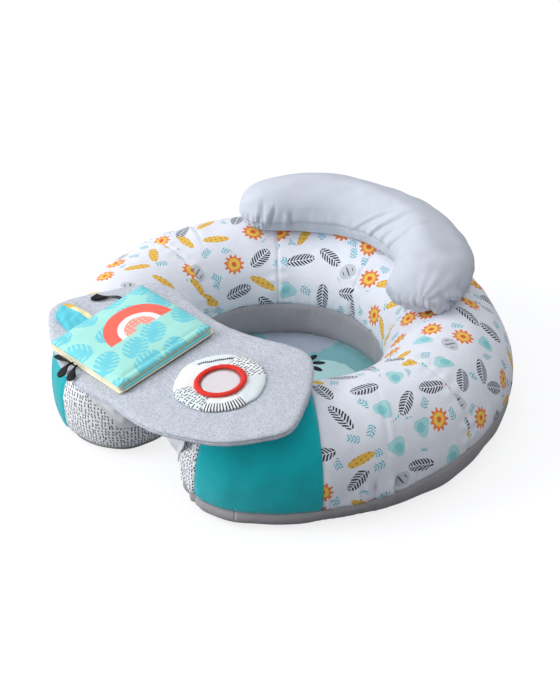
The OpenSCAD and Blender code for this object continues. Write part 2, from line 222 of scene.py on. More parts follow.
def gathers(along: Array, wave_mm: float, seed: int) -> Array:
    """Uneven puckers along a sewn line, about -1 to 1, at a place along it in mm."""
    return ripple(np.asarray(along)[..., None], wave_mm, seed, 7)


def near(distance: Array, width: float) -> Array:
    """1 on a line and falling to nothing a few widths away from it."""
    return np.exp(-((distance / width) ** 2))


def bent(value: Array, power: Array | float) -> Array:
    """A value raised to a power with its sign kept."""
    return np.sign(value) * np.abs(value) ** power


def blend_in(value: Array, low: float, high: float) -> Array:
    """Smooth step from 0 at low to 1 at high."""
    t = np.clip((value - low) / (high - low), 0, 1)
    return t * t * (3 - 2 * t)


def polar(radius: Array | float, angle: Array) -> Array:
    """Flat points at a radius and an angle in radians."""
    return np.stack([radius * np.cos(angle), radius * np.sin(angle)], -1)


def raised(plan: Array, height: Array | float) -> Array:
    """Flat points lifted to a height, each its own or one for all."""
    return np.concatenate([plan, (height + 0 * plan[..., 0])[..., None]], -1)


def spun(x: Array, y: Array, degrees: float) -> tuple[Array, Array]:
    """x and y turned about the origin."""
    a = math.radians(degrees)
    return x * math.cos(a) - y * math.sin(a), x * math.sin(a) + y * math.cos(a)


def full_turn(count: int) -> Array:
    """Even steps round a circle, in radians."""
    return np.radians(np.linspace(0, 360, count, endpoint=False))


@dataclass
class Sheet:
    """A cloth surface gathered from grids of points, each with its place on the flat cloth."""

    name: str
    points: list[Array] = field(default_factory=list)
    flats: list[Array] = field(default_factory=list)
    faces: list[Array] = field(default_factory=list)
    marks: list[Array] = field(default_factory=list)

    def grid(self, points: Array, flats: Array, mark: int = 0) -> None:
        """Adds a grid of points.

        Args:
            points: Array (rows, columns, 3) in millimetres.
            flats: Array (rows, columns, 2) of places on the flat cloth, in mm.
            mark: Material slot of these faces.
        """
        start = sum(len(p) for p in self.points)
        rows, columns = points.shape[:2]
        i, j = np.meshgrid(np.arange(rows - 1), np.arange(columns - 1), indexing="ij")
        corner = (i * columns + j).ravel()
        quads = np.stack([corner, corner + columns, corner + columns + 1, corner + 1], 1)
        flat = flats.reshape(-1, 2)[quads.ravel()]
        self.points.append(points.reshape(-1, 3))
        self.faces.append(quads + start)
        self.flats.append(np.column_stack([flat, np.zeros(len(flat))]))
        self.marks.append(np.full(len(quads), mark))

    def hoops(self, rings: Sequence[Array], flats: Sequence[Array] | None = None,
              marks: Sequence[int] | None = None) -> None:
        """Adds closed rings of points, each joined to the next.

        Args:
            rings: Arrays (n, 3) in millimetres, in order over the surface.
            flats: Places on the flat cloth, or None for the rings' own x and y.
            marks: Material slot between each ring and the next.
        """
        stack = [np.vstack([r, r[:1]]) for r in rings]
        laid = [np.vstack([f, f[:1]]) for f in (flats or [r[:, :2] for r in rings])]
        for k in range(len(stack) - 1):
            mark = marks[k] if marks else 0
            self.grid(np.stack(stack[k:k + 2]), np.stack(laid[k:k + 2]), mark)

    def build(self, core: Callable[[Array], Array], keep: Sequence[float] | None = None,
              thick_mm: float = 0.0) -> Piece:
        """Welds the grids into one object, with its faces turned away from the core.

        Args:
            core: Gives for a face's centre a point on the inner side of the cloth.
            keep: Direction of the side that is kept, of a plane that meets the ring's
                axis at CUT_Z.
            thick_mm: Thickness of the cloth, laid inwards, or 0 for a closed form.

        Returns:
            The object, linked to the scene.
        """
        mesh = bpy.data.meshes.new(self.name)
        verts = np.concatenate(self.points) * MM
        faces = np.concatenate(self.faces)
        mesh.from_pydata(verts.tolist(), [], faces.tolist())
        layer = mesh.attributes.new(FLAT, "FLOAT_VECTOR", "CORNER")
        flats = np.concatenate(self.flats).astype(np.float32)
        layer.data.foreach_set("vector", flats.ravel())
        marks = np.concatenate(self.marks).astype(np.int32)
        mesh.polygons.foreach_set("material_index", marks)
        form = bmesh.new()
        form.from_mesh(mesh)
        bmesh.ops.remove_doubles(form, verts=form.verts, dist=0.02 * MM)
        bmesh.ops.dissolve_degenerate(form, edges=form.edges, dist=0.001 * MM)
        if keep is not None:
            bmesh.ops.bisect_plane(
                form, geom=form.verts[:] + form.edges[:] + form.faces[:],
                plane_co=(0, 0, CUT_Z * MM), plane_no=tuple(keep), clear_inner=True)
        bmesh.ops.recalc_face_normals(form, faces=form.faces)
        form.faces.ensure_lookup_table()
        vote = 0.0
        for face in list(form.faces)[::max(1, len(form.faces) // 200)]:
            middle = np.array(face.calc_center_median()) / MM
            vote += float(np.dot(middle - core(middle), np.array(face.normal)))
        if vote < 0:
            bmesh.ops.reverse_faces(form, faces=form.faces)
        form.to_mesh(mesh)
        form.free()
        mesh.polygons.foreach_set("use_smooth", [True] * len(mesh.polygons))
        piece = add_object(self.name, mesh)
        if thick_mm:
            shell = piece.modifiers.new("cloth_thickness", "SOLIDIFY")
            shell.thickness = thick_mm * MM
            shell.offset = -1
        return piece


def loft(name: str, rings: Sequence[Array], flats: Sequence[Array] | None = None,
         marks: Sequence[int] | None = None) -> Sheet:
    """Sheet made of closed rings alone, as in Sheet.hoops."""
    sheet = Sheet(name)
    sheet.hoops(rings, flats, marks)
    return sheet


def pane(name: str, *grids: tuple) -> Sheet:
    """Sheet made of open grids, each with its flat places and its slot if not 0."""
    sheet = Sheet(name)
    for grid in grids:
        sheet.grid(*grid)
    return sheet


def centre_of(place: Callable[[Array], Array], *point: float) -> Callable[[Array], Array]:
    """Core that is one point, given in the frame that a function places."""
    middle = place(np.array(point, float))
    return lambda _: middle


# ---- finishes ------------------------------------------------------------------


@dataclass(frozen=True)
class Fabric:
    """Plain knitted or woven cloth: soft, matt, with threads and slight unevenness."""

    name: str
    ground: str
    thread_mm: float = 1.6
    bump_mm: float = 0.25
    rough: float = 0.92
    sheen: float = 0.12
    mottle: float = 0.06
    patch_mm: float = 18.0

    def colour(self, flat: Socket, solid: Socket) -> Any:
        """Colour of the cloth over its surface; plain cloth has its ground alone."""
        return linear(self.ground)[:3]

    def paint(self, flat: Socket, solid: Socket) -> Socket:
        """Colour with the cloth's fading and fibre specks laid over it.

        Args:
            flat: Place on the flat cloth, in millimetres.
            solid: Place in the object, in metres.

        Returns:
            Socket of the finished colour.
        """
        cloud = Number(noise(solid, 1000 / self.patch_mm, 3.0))
        specks = noise(solid, 1000 / self.thread_mm, 2.0)
        level = (cloud + specks).ranged(0.6, 1.4, 1 - self.mottle, 1 + self.mottle)
        return scaled(solid, self.colour(flat, solid), level)

    def relief(self, solid: Socket) -> Any:
        """Height of the threads, 0 to 1: a fine knit drawn as coarse as it needs to show."""
        return put(solid, "ShaderNodeTexNoise", {
            "Vector": solid, "Scale": 1000 / self.thread_mm, "Detail": 2.0,
            "Roughness": 0.6})

    def make(self) -> bpy.types.Material:
        """Builds the material.

        Returns:
            The cloth's material.
        """
        material = bpy.data.materials.new(self.name)
        tree = fresh_tree(material)
        flat = put(tree, "ShaderNodeAttribute", out="Vector", attribute_name=FLAT)
        solid = put(tree, "ShaderNodeTexCoord", out="Object")
        bump = put(tree, "ShaderNodeBump", {
            "Strength": 1.0, "Distance": self.bump_mm * MM,
            "Height": self.relief(solid)})
        shader = put(tree, "ShaderNodeBsdfPrincipled", {
            "Base Color": self.paint(flat, solid), "Roughness": self.rough,
            "Normal": bump, "Sheen Weight": self.sheen, "Sheen Roughness": 0.5,
            "IOR": 1.45, "Specular IOR Level": 0.25})
        put(tree, "ShaderNodeOutputMaterial", {"Surface": shader})
        return material


def inked(under: Any, *inks: tuple[Number, str]) -> Socket:
    """Prints inks in turn over a colour, each a hex colour where its mask is 1."""
    for mask, code in inks:
        under = put(mask.socket, "ShaderNodeMix", {0: mask, 6: under, 7: linear(code)},
                    out=2, data_type="RGBA")
    return under


@dataclass(frozen=True)
class Cells:
    """Scattered places on a cloth, each with its own turn and chance number."""

    spacing_mm: float
    jitter: float = 0.6
    turn: float = 2 * math.pi
    shift: float = 0.0

    def lay(self, flat: Socket) -> tuple[Number, ...]:
        """Finds the nearest place and measures from it.

        Args:
            flat: Place on the flat cloth, in millimetres.

        Returns:
            x and y in mm from the place, their distance and angle, and the place's
            chance number.
        """
        moved = vector("ADD", flat, (self.shift,) * 3)
        cell = put(flat, "ShaderNodeTexVoronoi", {
            "Vector": moved, "Scale": 1 / self.spacing_mm, "Randomness": self.jitter},
            voronoi_dimensions="2D").node
        chance, _, spin = map(Number, put(flat, "ShaderNodeSeparateColor", {
            0: cell.outputs["Color"]}).node.outputs)
        turned = put(flat, "ShaderNodeVectorRotate", {
            "Vector": vector("SUBTRACT", moved, cell.outputs["Position"]),
            "Angle": spin * self.turn}, rotation_type="Z_AXIS")
        return *measured(turned), chance


@dataclass(frozen=True)
class TossedPrint(Fabric):
    """White brushed knit with small garden motifs tossed over it in flat inks."""

    def colour(self, flat: Socket, solid: Socket) -> Socket:
        """Suns, striped feathers, pods, pebbles, soft blots and little sprigs."""
        drawn = wandered(flat, 8.0, 1.0, 2.4)
        large = scaled(drawn, drawn, 0.78)
        x, y, _, _, chance = Cells(30, 0.65, shift=13.0).lay(drawn)
        side = abs(x)
        leaf = oval(side - 3.1, (y - side * 0.8).to_and_fro(2.2), 2.5, 1.15) < 1.0
        sprig = (leaf | (side < 0.45)) * (abs(y) < 8.0) * (chance < 0.62)
        x, y, r, a, chance = Cells(35, 0.5, turn=2.6).lay(large)
        is_sun = chance < 0.2
        is_feather, is_pod, is_blot = (
            (chance > low) * (chance < high)
            for low, high in ((0.2, 0.5), (0.5, 0.7), (0.7, 0.86)))
        is_pebble = chance > 0.86
        side = abs(x)
        stripe = ((y * 1.75 + side * 1.3).sine() > -0.35) * (side > 0.45)
        pod = (oval(x + y * 0.16, y, 5.0, 15.5) < 1.0) * is_pod
        egg = oval(x, y, 11.5, 8.0)
        return inked(
            linear(self.ground), (sprig * (r > 15.0), "#58b7c7"),
            ((r < (a * 11).cosine() * 1.9 + 10.4) * is_sun, "#ec8149"),
            ((r < 7.0) * is_sun, "#f7cb5c"),
            ((r < 3.0) * is_sun, "#e2693a"),
            ((oval(x, y, 7.0, 15.5) < 1.0) * stripe * is_feather, "#363b49"),
            (pod, "#f0c35a"),
            ((x.to_and_fro(2.4) + y.to_and_fro(2.9) < 1.5) * pod, "#c98f3a"),
            ((r + (a * 3).sine() * 1.5 < 9.5) * is_blot, "#b0dfe3"),
            ((oval(x + 2, y) < 26) * is_blot, "#8bd0d8"),
            ((egg < 1.0) * is_pebble, "#ccd0d8"),
            ((x.to_and_fro(3.4) < 0.8) * (egg < 0.4) * is_pebble, "#4b505e"))


@dataclass(frozen=True)
class DashPrint(Fabric):
    """White knit printed with short dark pen strokes, all leaning much the same way."""

    def colour(self, flat: Socket, solid: Socket) -> Socket:
        """Strokes about 1.7 mm by 3.4 mm, 4.8 mm apart."""
        x, y, *_ = Cells(4.8, 0.5, turn=0.8).lay(flat)
        return inked(linear(self.ground), ((abs(x) < 0.85) * (abs(y) < 1.7), "#31374a"))


@dataclass(frozen=True)
class HeatherKnit(Fabric):
    """Marled knit: pale flecks of undyed yarn on a grey ground, and painted shade between the
    loops.
    """

    fleck: str = "#dfe3eb"
    stitch_mm: float = 1.7

    def loops(self, solid: Socket) -> Number:
        """Loops of the knit, 1 at a loop's middle; drawn at twice their real size."""
        cell = put(solid, "ShaderNodeTexVoronoi", {
            "Vector": solid, "Scale": 1000 / self.stitch_mm, "Randomness": 0.85}).node
        # 1 at a loop's middle and 0 at its edge: the loop's height, and in the colour painted
        # shade between the loops
        shade = Number(cell.outputs["Distance"]).ranged(0.75, 0.05)
        yarn = put(solid, "ShaderNodeSeparateColor", {0: cell.outputs["Color"]})
        return (shade + yarn) * 0.5

    def colour(self, flat: Socket, solid: Socket) -> Socket:
        """Grey and undyed yarn, loop by loop; each loop is paler at its middle, with painted
        shade at its edge.
        """
        return inked(linear(self.ground), (self.loops(solid), self.fleck))

    def relief(self, solid: Socket) -> Number:
        """Each loop stands a little proud."""
        return self.loops(solid)


@dataclass(frozen=True)
class FloorPrint(Fabric):
    """Pale teal printed knit with loose black petals and faint lighter strokes."""

    def colour(self, flat: Socket, solid: Socket) -> Socket:
        """Broad washed shapes, and flowers of eight black petals 20 mm long."""
        x, y, *_ = measured(wandered(flat, 14.0, 3.0, 16.0))
        tint = inked(linear(self.ground), (oval(x + 62, y - 128) < 2900, "#a3aebf"),
                     (oval(x - 40, y - 70) < 1700, "#b4dcdc"))
        for at in ((-12.0, 62.0), (82.0, 8.0), (-78.0, -14.0), (8.0, -84.0)):
            _, _, r, a = measured(vector("SUBTRACT", flat, (*at, 0.0)))
            side = (a + 6.16).to_and_fro(math.pi / 8) * r
            tint = inked(tint, (oval(r - 21, side, 10, 4.9) < 1.0, "#16181d"))
        return tint


@dataclass(frozen=True)
class BookPrint(Fabric):
    """Printed satin of the book's covers: pale aqua with broad cyan leaves and a coral
    arch, an abstract design with no lettering."""

    picture: bool = True

    def colour(self, flat: Socket, solid: Socket) -> Socket:
        """Leaves with cut edges all over and, on a cover, a big arch with a dotted field."""
        x, y, *_ = Cells(47, 0.35, turn=3.0, shift=31.0).lay(flat)
        blade, out = oval(x, y, 17, 22), abs(x)
        cut = ((y + out * 0.55) * 0.85).sine() < 0.62
        leaf = (blade < 1.0) * (cut | (out < 4.5) | (blade < 0.22))
        tint = inked(linear(self.ground), (leaf, "#74d2df"))
        if not self.picture:
            return tint
        x, y, *_ = measured(flat)
        far, half = oval(x - 8, y - 14).step("SQRT"), x - 8 < 0
        field = (far < 24) * half
        dots = (x.to_and_fro(2.9) + y.to_and_fro(3.3) < 1.4) * field
        return inked(tint, ((far < 52) * half, "#ff6f5e"),
                     ((far < 33) * half, "#f3f2f8"), (field, "#ff9f90"),
                     (dots, "#ffe9e4"), ((far < 9) * half, "#a6e4dc"))


@dataclass(frozen=True)
class PanelPrint(Fabric):
    """Six pieced wedges of pale cloth round the mirror: plain, pen strokes and ticks."""

    def colour(self, flat: Socket, solid: Socket) -> Socket:
        """Wedges of 60 degrees; strokes and ticks are about 1.6 mm wide."""
        x, y, *_ = Cells(4.4, 0.5, turn=0.7).lay(flat)
        stroke = (abs(x) < 0.8) * (abs(y) < 1.5)
        x, y, r, a = measured(flat)
        wedge = ((a + 6.4577) / 1.0472).step("FLOOR") % 6
        ticks = ((a * 84).sine() > 0.25) * (r > 44)
        off = abs(x * -0.766 + y * 0.643 - 40.5)
        barbs = ((x * 0.643 + y * 0.766).to_and_fro(1.3) < 0.6) * (off < 2.1)
        ink = "#2b303d"
        return inked(
            linear(self.ground), (wedge % 2 < 0.5, "#e6eff3"),
            ((wedge.step("COMPARE", 1) | wedge.step("COMPARE", 4)) * stroke, ink),
            (ticks * wedge.step("COMPARE", 5), ink),
            (((off < 0.9) | barbs) * wedge.step("COMPARE", 2), ink))


@dataclass(frozen=True)
class Smooth:
    """Cast metal, moulded plastic or film: one colour, faint unevenness in its polish."""

    name: str
    ground: str
    rough: float
    metal: float = 0.0
    grain_mm: float = 3.0
    bump_mm: float = 0.02
    coat: float = 0.0

    def make(self) -> bpy.types.Material:
        """Builds the material.

        Returns:
            The material, its polish varied by a fine noise.
        """
        material = bpy.data.materials.new(self.name)
        tree = fresh_tree(material)
        solid = put(tree, "ShaderNodeTexCoord", out="Object")
        wear = Number(noise(solid, 1000 / self.grain_mm, 3.0))
        bump = put(tree, "ShaderNodeBump", {
            "Distance": self.bump_mm * MM, "Height": wear})
        shader = put(tree, "ShaderNodeBsdfPrincipled", {
            "Base Color": scaled(tree, linear(self.ground)[:3],
                                 wear.ranged(0, 1, 0.96, 1.04)),
            "Roughness": wear.ranged(0, 1, self.rough * 0.8, self.rough * 1.25),
            "Metallic": self.metal, "Normal": bump, "Coat Weight": self.coat})
        put(tree, "ShaderNodeOutputMaterial", {"Surface": shader})
        return material


class Finish(Enum):
    """The finishes of the seat, each with the record's slot that it belongs to."""

    # brushed knit: a soft matt white with a faint nap that the inks sit flat in
    PRINT = ("print_knit", TossedPrint("brushed_knit_tossed_print", "#ebeef8", 1.5, 0.15))
    # velour: short upright pile, deep colour with paler edges where the pile is seen sideways
    PLUSH = ("teal_plush", Fabric("velour_teal", "#06b0ba", 1.3, 0.4, 0.95, 0.3, 0.13, 34))
    # single jersey with printed strokes: thin and matt
    DASH = ("dash_knit", DashPrint("jersey_pen_strokes", "#f3f4f8", 1.5, 0.15))
    # interlock knit: smooth mid grey, hardly any texture
    WALL = ("wall_knit", Fabric("interlock_knit_grey", "#b0aab0", 1.4, 0.2))
    # coated canvas: darker, firmer and a little rough to the light
    BASE = ("base_cloth", Fabric("coated_canvas_grey", "#a5a2a6", 1.2, 0.2, 0.85))
    FLOOR = ("floor_print", FloorPrint("jersey_petal_print", "#7cb4bb", 1.5, 0.2))
    # hook and loop tape: a dense nap of loops, no gloss
    TAPE = ("touch_tape", Fabric("touch_tape_nylon", "#ccd0d9", 0.9, 0.5, 0.95, 0.3))
    # marled interlock: pale flecks on grey with painted shade between the loops, springy
    # surface
    HEATHER = ("heather_knit", HeatherKnit("marled_knit_grey", "#aab0be", 1.6, 0.3))
    # brushed jersey of the cushion: pale, even, with soft folds
    JERSEY = ("cushion_knit", Fabric("brushed_jersey_pale_grey", "#cdd2de", 1.2, 0.15))
    ZIP_CLOTH = ("zip_cloth", Fabric("woven_polyester_tape", "#77777b", 0.8, 0.25))
    # acetal moulded teeth: dull gloss
    ZIP_TEETH = ("zip_plastic", Smooth("moulded_acetal_grey", "#9c9ca0", 0.45))
    # zinc die casting, nickel plated: bright with blurred reflections
    ZIP_METAL = ("zip_metal", Smooth("die_cast_zinc_nickel", "#b4b6bb", 0.32, 1.0))
    PANEL = ("panel_cloth", PanelPrint("pieced_cotton_prints", "#f3f5f7", 1.3, 0.2))
    # metallised polyester film: soft mirror that blurs what it shows
    FILM = ("mirror_sheet", Smooth("metallised_film", "#e6e0e4", 0.32, 0.55, 40, 0.3, 0.3))
    # rolled jersey binding, stuffed: saturated red, matt
    RED = ("red_binding", Fabric("rolled_jersey_red", "#e2362c", 1.2, 0.2, 0.85))
    BOOK = ("book_cloth", BookPrint("printed_satin_leaves", "#a8e6dd", 0.9, 0.1, 0.6, 0.1))
    BOOK_BACK = ("book_cloth", BookPrint("printed_satin_plain_leaves", "#a8e6dd", 0.9, 0.1,
                                         0.6, 0.1, picture=False))
    SPINE = ("book_cloth", Fabric("satin_aqua_roll", "#6fcbd2", 0.9, 0.1, 0.6, 0.1))
    # plain weave cotton of the page edges: cream, slightly fuzzy
    PAGE = ("page_cloth", Fabric("cotton_cream", "#efe9cf", 1.0, 0.2))
    RIBBON = ("black_ribbon", Fabric("satin_ribbon_black", "#0e0f11", 0.7, 0.1, 0.6, 0.02))
    CRACKLE = ("crackle_cloth", Fabric("crackle_cloth_cyan", "#5cc9dc", 1.0, 0.2, 0.6))
    FLAP_CREAM = ("crackle_cloth", Fabric("crackle_cloth_cream", "#efe2b4", 1.0, 0.2, 0.6))
    FLAP_GOLD = ("crackle_cloth", Fabric("crackle_cloth_gold", "#e3b54a", 1.0, 0.2, 0.6))
    TAB = ("heather_knit", Fabric("lining_jersey_pale", "#eceef3", 1.2, 0.15))

    @property
    def slot(self) -> str:
        """The record's material slot."""
        return self.value[0]

    @property
    def material(self) -> bpy.types.Material:
        """The finish's material, made once and then shared."""
        found = bpy.data.materials.get(self.value[1].name)
        return found or self.value[1].make()


@dataclass
class Part:
    """Shared work of the sub-assemblies: dressing pieces and reporting them."""

    body: str = "seat"

    def settle(self, piece: Piece, finishes: Sequence[Finish],
               replaced: Sequence[str] = (), body: str | None = None,
               fill: float | None = None) -> Piece:
        """Dresses a piece, ties it to its body and hides the CAD nodes that it stands for.

        Args:
            piece: The finished mesh object.
            finishes: Its finishes, in the order of its material slots.
            replaced: CAD nodes that it stands for.
            body: CAD body that it rides on, if not the part's own.
            fill: How full a padded piece is, or None for one that isn't padded; not used.

        Returns:
            The same object.
        """
        for finish in finishes:
            piece.data.materials.append(finish.material)
        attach(piece, body or self.body)
        if replaced:
            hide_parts(*replaced)
        LOG.info("%s: %d faces on %s", piece.name, len(piece.data.polygons),
                 body or self.body)
        return piece

    def dress_nodes(self, finish: Finish, *nodes: str) -> None:
        """Gives CAD nodes that stay in view their finish."""
        for node in nodes:
            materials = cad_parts[node].data.materials
            materials.clear()
            materials.append(finish.material)
            LOG.info("%s: CAD node, %s", node, finish.name)


# ---- the ring --------------------------------------------------------------------


@dataclass
class Tube:
    """Section and plan of the stuffed ring."""

    line_r: float = 231.5
    half: float = 88.5
    mid_z: float = 61.0
    low: float = 69.0
    inner_power: float = 5.0
    outer_power: float = 3.8
    arm: float = 31.2
    base_z: float = 22.0
    base_rise: float = 24.0
    base_roll: float = 17.0

    def section(self, t: Array) -> tuple[Array, Array]:
        """Point of the section at t degrees: 180 inner side, 90 crest, 0 outer side.

        Args:
            t: Angles in degrees.

        Returns:
            Distances from the tube's centre line and heights, in millimetres.
        """
        a = np.radians(t)
        curve = np.where(np.cos(a) < 0, self.inner_power, self.outer_power)
        power = np.where(np.sin(a) < -1e-9, 2 / curve, 1.0)
        tall = np.where(np.sin(a) < -1e-9, self.low, self.half)
        x = self.half * bent(np.cos(a), power)
        z = self.mid_z + tall * bent(np.sin(a), power)
        return x, np.maximum(z, 0.0)

    def angle_at(self, height: Array | float, inner: bool = False) -> Array:
        """Angle below the equator where a side is at a height, in degrees."""
        share = (self.mid_z - np.asarray(height)) / self.low
        power = self.inner_power if inner else self.outer_power
        return np.degrees(np.arcsin(share ** (power / 2)))

    def foot(self, angle: Array) -> Array:
        """Section angle of the base seam at an angle round the ring: the seam is highest
        at the sides and rolled under at the left arm."""
        away = np.abs(angle - 90)
        lift = 3 * blend_in(away, 35, 70) + self.base_rise * near(away - 84, 26)
        roll = self.base_roll * blend_in(angle, 206, 237)
        return -self.angle_at(self.base_z + lift - roll)

    def fan(self, stops: Sequence[Array | float], counts: Sequence[int], rows: int
            ) -> tuple[Array, Array]:
        """Even steps down the section between stops, for each place along the ring.

        Args:
            stops: Angles of the section, each one number or one for each row.
            counts: Steps between each stop and the next.
            rows: How many places along the ring.

        Returns:
            Angles (rows, columns) and distances from each row's start in millimetres.
        """
        fine = np.linspace(200, -290, 7001)
        x, z = self.section(fine)
        run = np.concatenate([[0], np.cumsum(np.hypot(np.diff(x), np.diff(z)))])
        marks = [np.interp(-(np.zeros(rows) + stop), -fine, run) for stop in stops]
        parts = [marks[0][:, None]]
        for low, high, count in zip(marks, marks[1:], counts):
            share = np.linspace(0, 1, count + 1)[None, 1:]
            parts.append(low[:, None] + (high - low)[:, None] * share)
        down = np.hstack(parts)
        return np.interp(down, run, fine), np.abs(down - down[:, :1])

    def outward(self, t: Array) -> tuple[Array, Array]:
        """Outward direction of the section at each angle."""
        x0, z0 = self.section(t + 0.02)
        x1, z1 = self.section(t - 0.02)
        dx, dz = x1 - x0, z1 - z0
        size = np.maximum(np.hypot(dx, dz), 1e-9)
        return -dz / size, dx / size

    @property
    def end(self) -> Array:
        """Centre of the right arm's rounded end, on the floor plan."""
        return polar(self.line_r, math.radians(self.arm - 90))

    def round_end(self, side: int, radius: Array, turn: Array, height: Array) -> Array:
        """Points round the end of the right arm (side 1) or the left (side -1)."""
        return raised((self.end + polar(radius, turn)) * [side, 1], height)

    def core(self, point: Array) -> Array:
        """Point of the tube's centre line next to a place on its cover."""
        ends = [self.end, self.end * [-1, 1]]
        plan = point[:2] / max(np.linalg.norm(point[:2]), 1e-6) * self.line_r
        if math.degrees(math.atan2(abs(plan[0]), -plan[1])) < self.arm:
            plan = ends[0] if point[0] > 0 else ends[1]
        return np.array([plan[0], plan[1], self.mid_z])


TUBE = Tube()
# seams between the printed gores, in degrees round the ring
SEAMS = (-38.4, 2.0, 46.0, 90.0, 134.0, 178.0, 218.4)
# folds of the printed cover: angle round the ring, height above the base seam, depth
FOLDS = ((12, 70, 1.6), (27, 45, 1.2), (61, 60, 1.5), (74, 110, 1.3), (104, 85, 1.8),
         (121, 55, 1.5), (148, 70, 1.3), (162, 115, 1.6), (196, 60, 1.4), (-22, 80, 1.5))
# puckers at the base seam: height, spacing, seed, place above the seam, width
PUCKERS = ((1.3, 19, 5, 13, 13), (1.9, 9, 6, 15, 12))
# how loose the cover lies: start and end along the ring in mm, amount added between
LOOSE = ((-175, 877, 1.0), (215, 487, -1.25))


@dataclass
class Ring(Part):
    """The stuffed ring: printed cover, plain arms, dashed ends, inner wall and base."""

    skin: float = 1.2
    print_seam: float = 51.6
    end_seams: tuple[float, float] = (20.0, 27.0)
    lean: float = -0.09
    wall_foot: float = 10.8
    tuck_mm: float = 1.7
    degree_mm: float = 4.6
    steps: tuple[int, int, int] = (56, 56, 18)

    def relief(self, points: Array, along: Array, down: Array, up: Array,
               across: Array | None = None) -> Array:
        """How far the cover stands proud of the plain tube.

        Args:
            points: Places on the plain tube, in millimetres.
            along: Distance along the ring, for puckers.
            down: Distance along the section to the base seam.
            up: Distance along the section to the inner rim seam.
            across: Angle round the ring, for the seams between printed gores.

        Returns:
            Height of the relief at each place, in millimetres.
        """
        rise = 1.4 * ripple(points, 150, 3) + 0.7 * ripple(points, 52, 4)
        loose = sum(
            amount * (blend_in(along, start, start + 25) - blend_in(along, end, end + 25))
            for start, end, amount in LOOSE)
        loose = (0.2 + 0.8 * loose) * (0.25 + near(along + 113, 65))
        loose *= 0.35 if across is None else 1.6
        for tall, spacing, seed, place, width in PUCKERS:
            rise += tall * loose * gathers(along, spacing, seed) * near(down - place, width)
        rise += 0.5 * gathers(along, 15, 7) * near(up - 9, 9)
        rise -= 2.4 * near(down, 3.4) + 1.5 * near(up, 3.4)
        if across is not None:
            width = np.maximum(np.hypot(points[..., 0], points[..., 1]), 1.0)
            for k, seam in enumerate(SEAMS[1:-1]):
                off = np.radians(across - seam) * width
                rise -= 2.1 * near(off, 2.0)
                rise += 0.7 * gathers(down, 17, 20 + k) * near(np.abs(off) - 8, 8)
            for k, (angle, height, depth) in enumerate(FOLDS):
                bend = 0.22 * (down - height)
                off = np.radians(across - angle) * width + bend * (-1) ** k
                rise -= 1.4 * depth * near(off, 2.6) * near(down - height, 55)
                rise += 0.8 * depth * near(off - 7, 5) * near(down - height, 50)
        return rise

    def swept(self, angles: Array, t: Array, down: Array, up: Array,
              printed: bool = False, tuck: Array | None = None) -> tuple[Array, Array]:
        """Grid of the cover swept round the ring.

        Args:
            angles: Angles round the ring from +X, in degrees.
            t: Angles round the section, for each angle round the ring.
            down: Distance from each point to the base seam.
            up: Distance from each point to the inner rim seam.
            printed: True adds the seams between gores and the folds.
            tuck: How deep the cover is drawn in at each angle round the ring.

        Returns:
            Points (angles, section, 3) and the plain radius of each.
        """
        x, z = TUBE.section(t)
        nx, nz = TUBE.outward(t)
        a = np.radians(angles)[:, None]
        radius = TUBE.line_r + x
        plain = raised(polar(radius, a), z)
        along = a * TUBE.line_r + 0 * radius
        wide = angles[:, None] + 0 * radius
        rise = self.relief(plain, along, down, up, wide if printed else None)
        if tuck is not None:
            rise -= tuck[:, None]
        plan = polar(radius + rise * nx, a)
        return raised(plan, np.maximum(z + rise * nz, 0.0)), radius

    def cover(self, angles: Array, seams: Sequence[float], printed: bool
              ) -> tuple[Array, Array, Array]:
        """Grid of the cover from the inner rim over the crest to the base seam.

        Args:
            angles: Angles round the ring, in degrees.
            seams: Angles of the seams that draw the cover in.
            printed: True adds the seams between gores and the folds.

        Returns:
            Points, the plain radius of each and its distance from the rim.
        """
        tuck = self.tuck_mm * sum(near((angles - seam) * self.degree_mm, 2.8)
                                  for seam in seams)
        t, up = TUBE.fan([180, 90, 0, TUBE.foot(angles)], self.steps, len(angles))
        points, radius = self.swept(angles, t, up[:, -1:] - up, up, printed, tuck)
        return points, radius, up

    def turned(self, side: int, seam: float, lowest: float | None = None
               ) -> tuple[Array, Array]:
        """Grid turned round an arm's end: the cover above the base seam, or the base.

        Args:
            side: 1 for the right arm and -1 for the left.
            seam: Angle of the end seam from the front axis, in degrees.
            lowest: Section angle where the base ends, or None for the cover.

        Returns:
            Points (turns, section, 3) and their places on the flat cloth.
        """
        join = math.radians(TUBE.arm - 90)
        turns = np.linspace(join - math.pi, join, 131)
        last = math.degrees(join if side > 0 else math.pi - join)
        foot = TUBE.foot(np.full(len(turns), last))
        if lowest is None:
            t, down = TUBE.fan([90, 0, foot], self.steps[1:], len(turns))
            down = down[:, -1:] - down
        else:
            t, down = TUBE.fan([foot, lowest], [46], len(turns))
        x, z = TUBE.section(t)
        nx, nz = TUBE.outward(t)
        b = turns[:, None]
        along = join * TUBE.line_r + (b - join) * TUBE.half + 0 * x
        if side < 0:
            along = math.pi * TUBE.line_r - along
        plain = TUBE.round_end(side, x, b, z)
        rise = self.relief(plain, along, down, FAR + 0 * down)
        way = math.radians(seam)
        off = side * plain[..., 0] * math.cos(way) + plain[..., 1] * math.sin(way)
        if side > 0:
            off += self.lean * (plain[..., 2] - CUT_Z)
        rise -= 2.0 * near(off, 2.3)
        rise += 0.7 * gathers(down, 13, 41) * near(np.abs(off) - 7, 6)
        if side > 0:
            crush = near(b + math.radians(118), 0.5)
            rise += 1.3 * crush * gathers(along, 31, 43) * near(down - 2, 26)
        points = TUBE.round_end(side, x + rise * nx, b, np.maximum(z + rise * nz, 0.0))
        return points, np.stack([b * TUBE.half + 0 * down, down], -1)

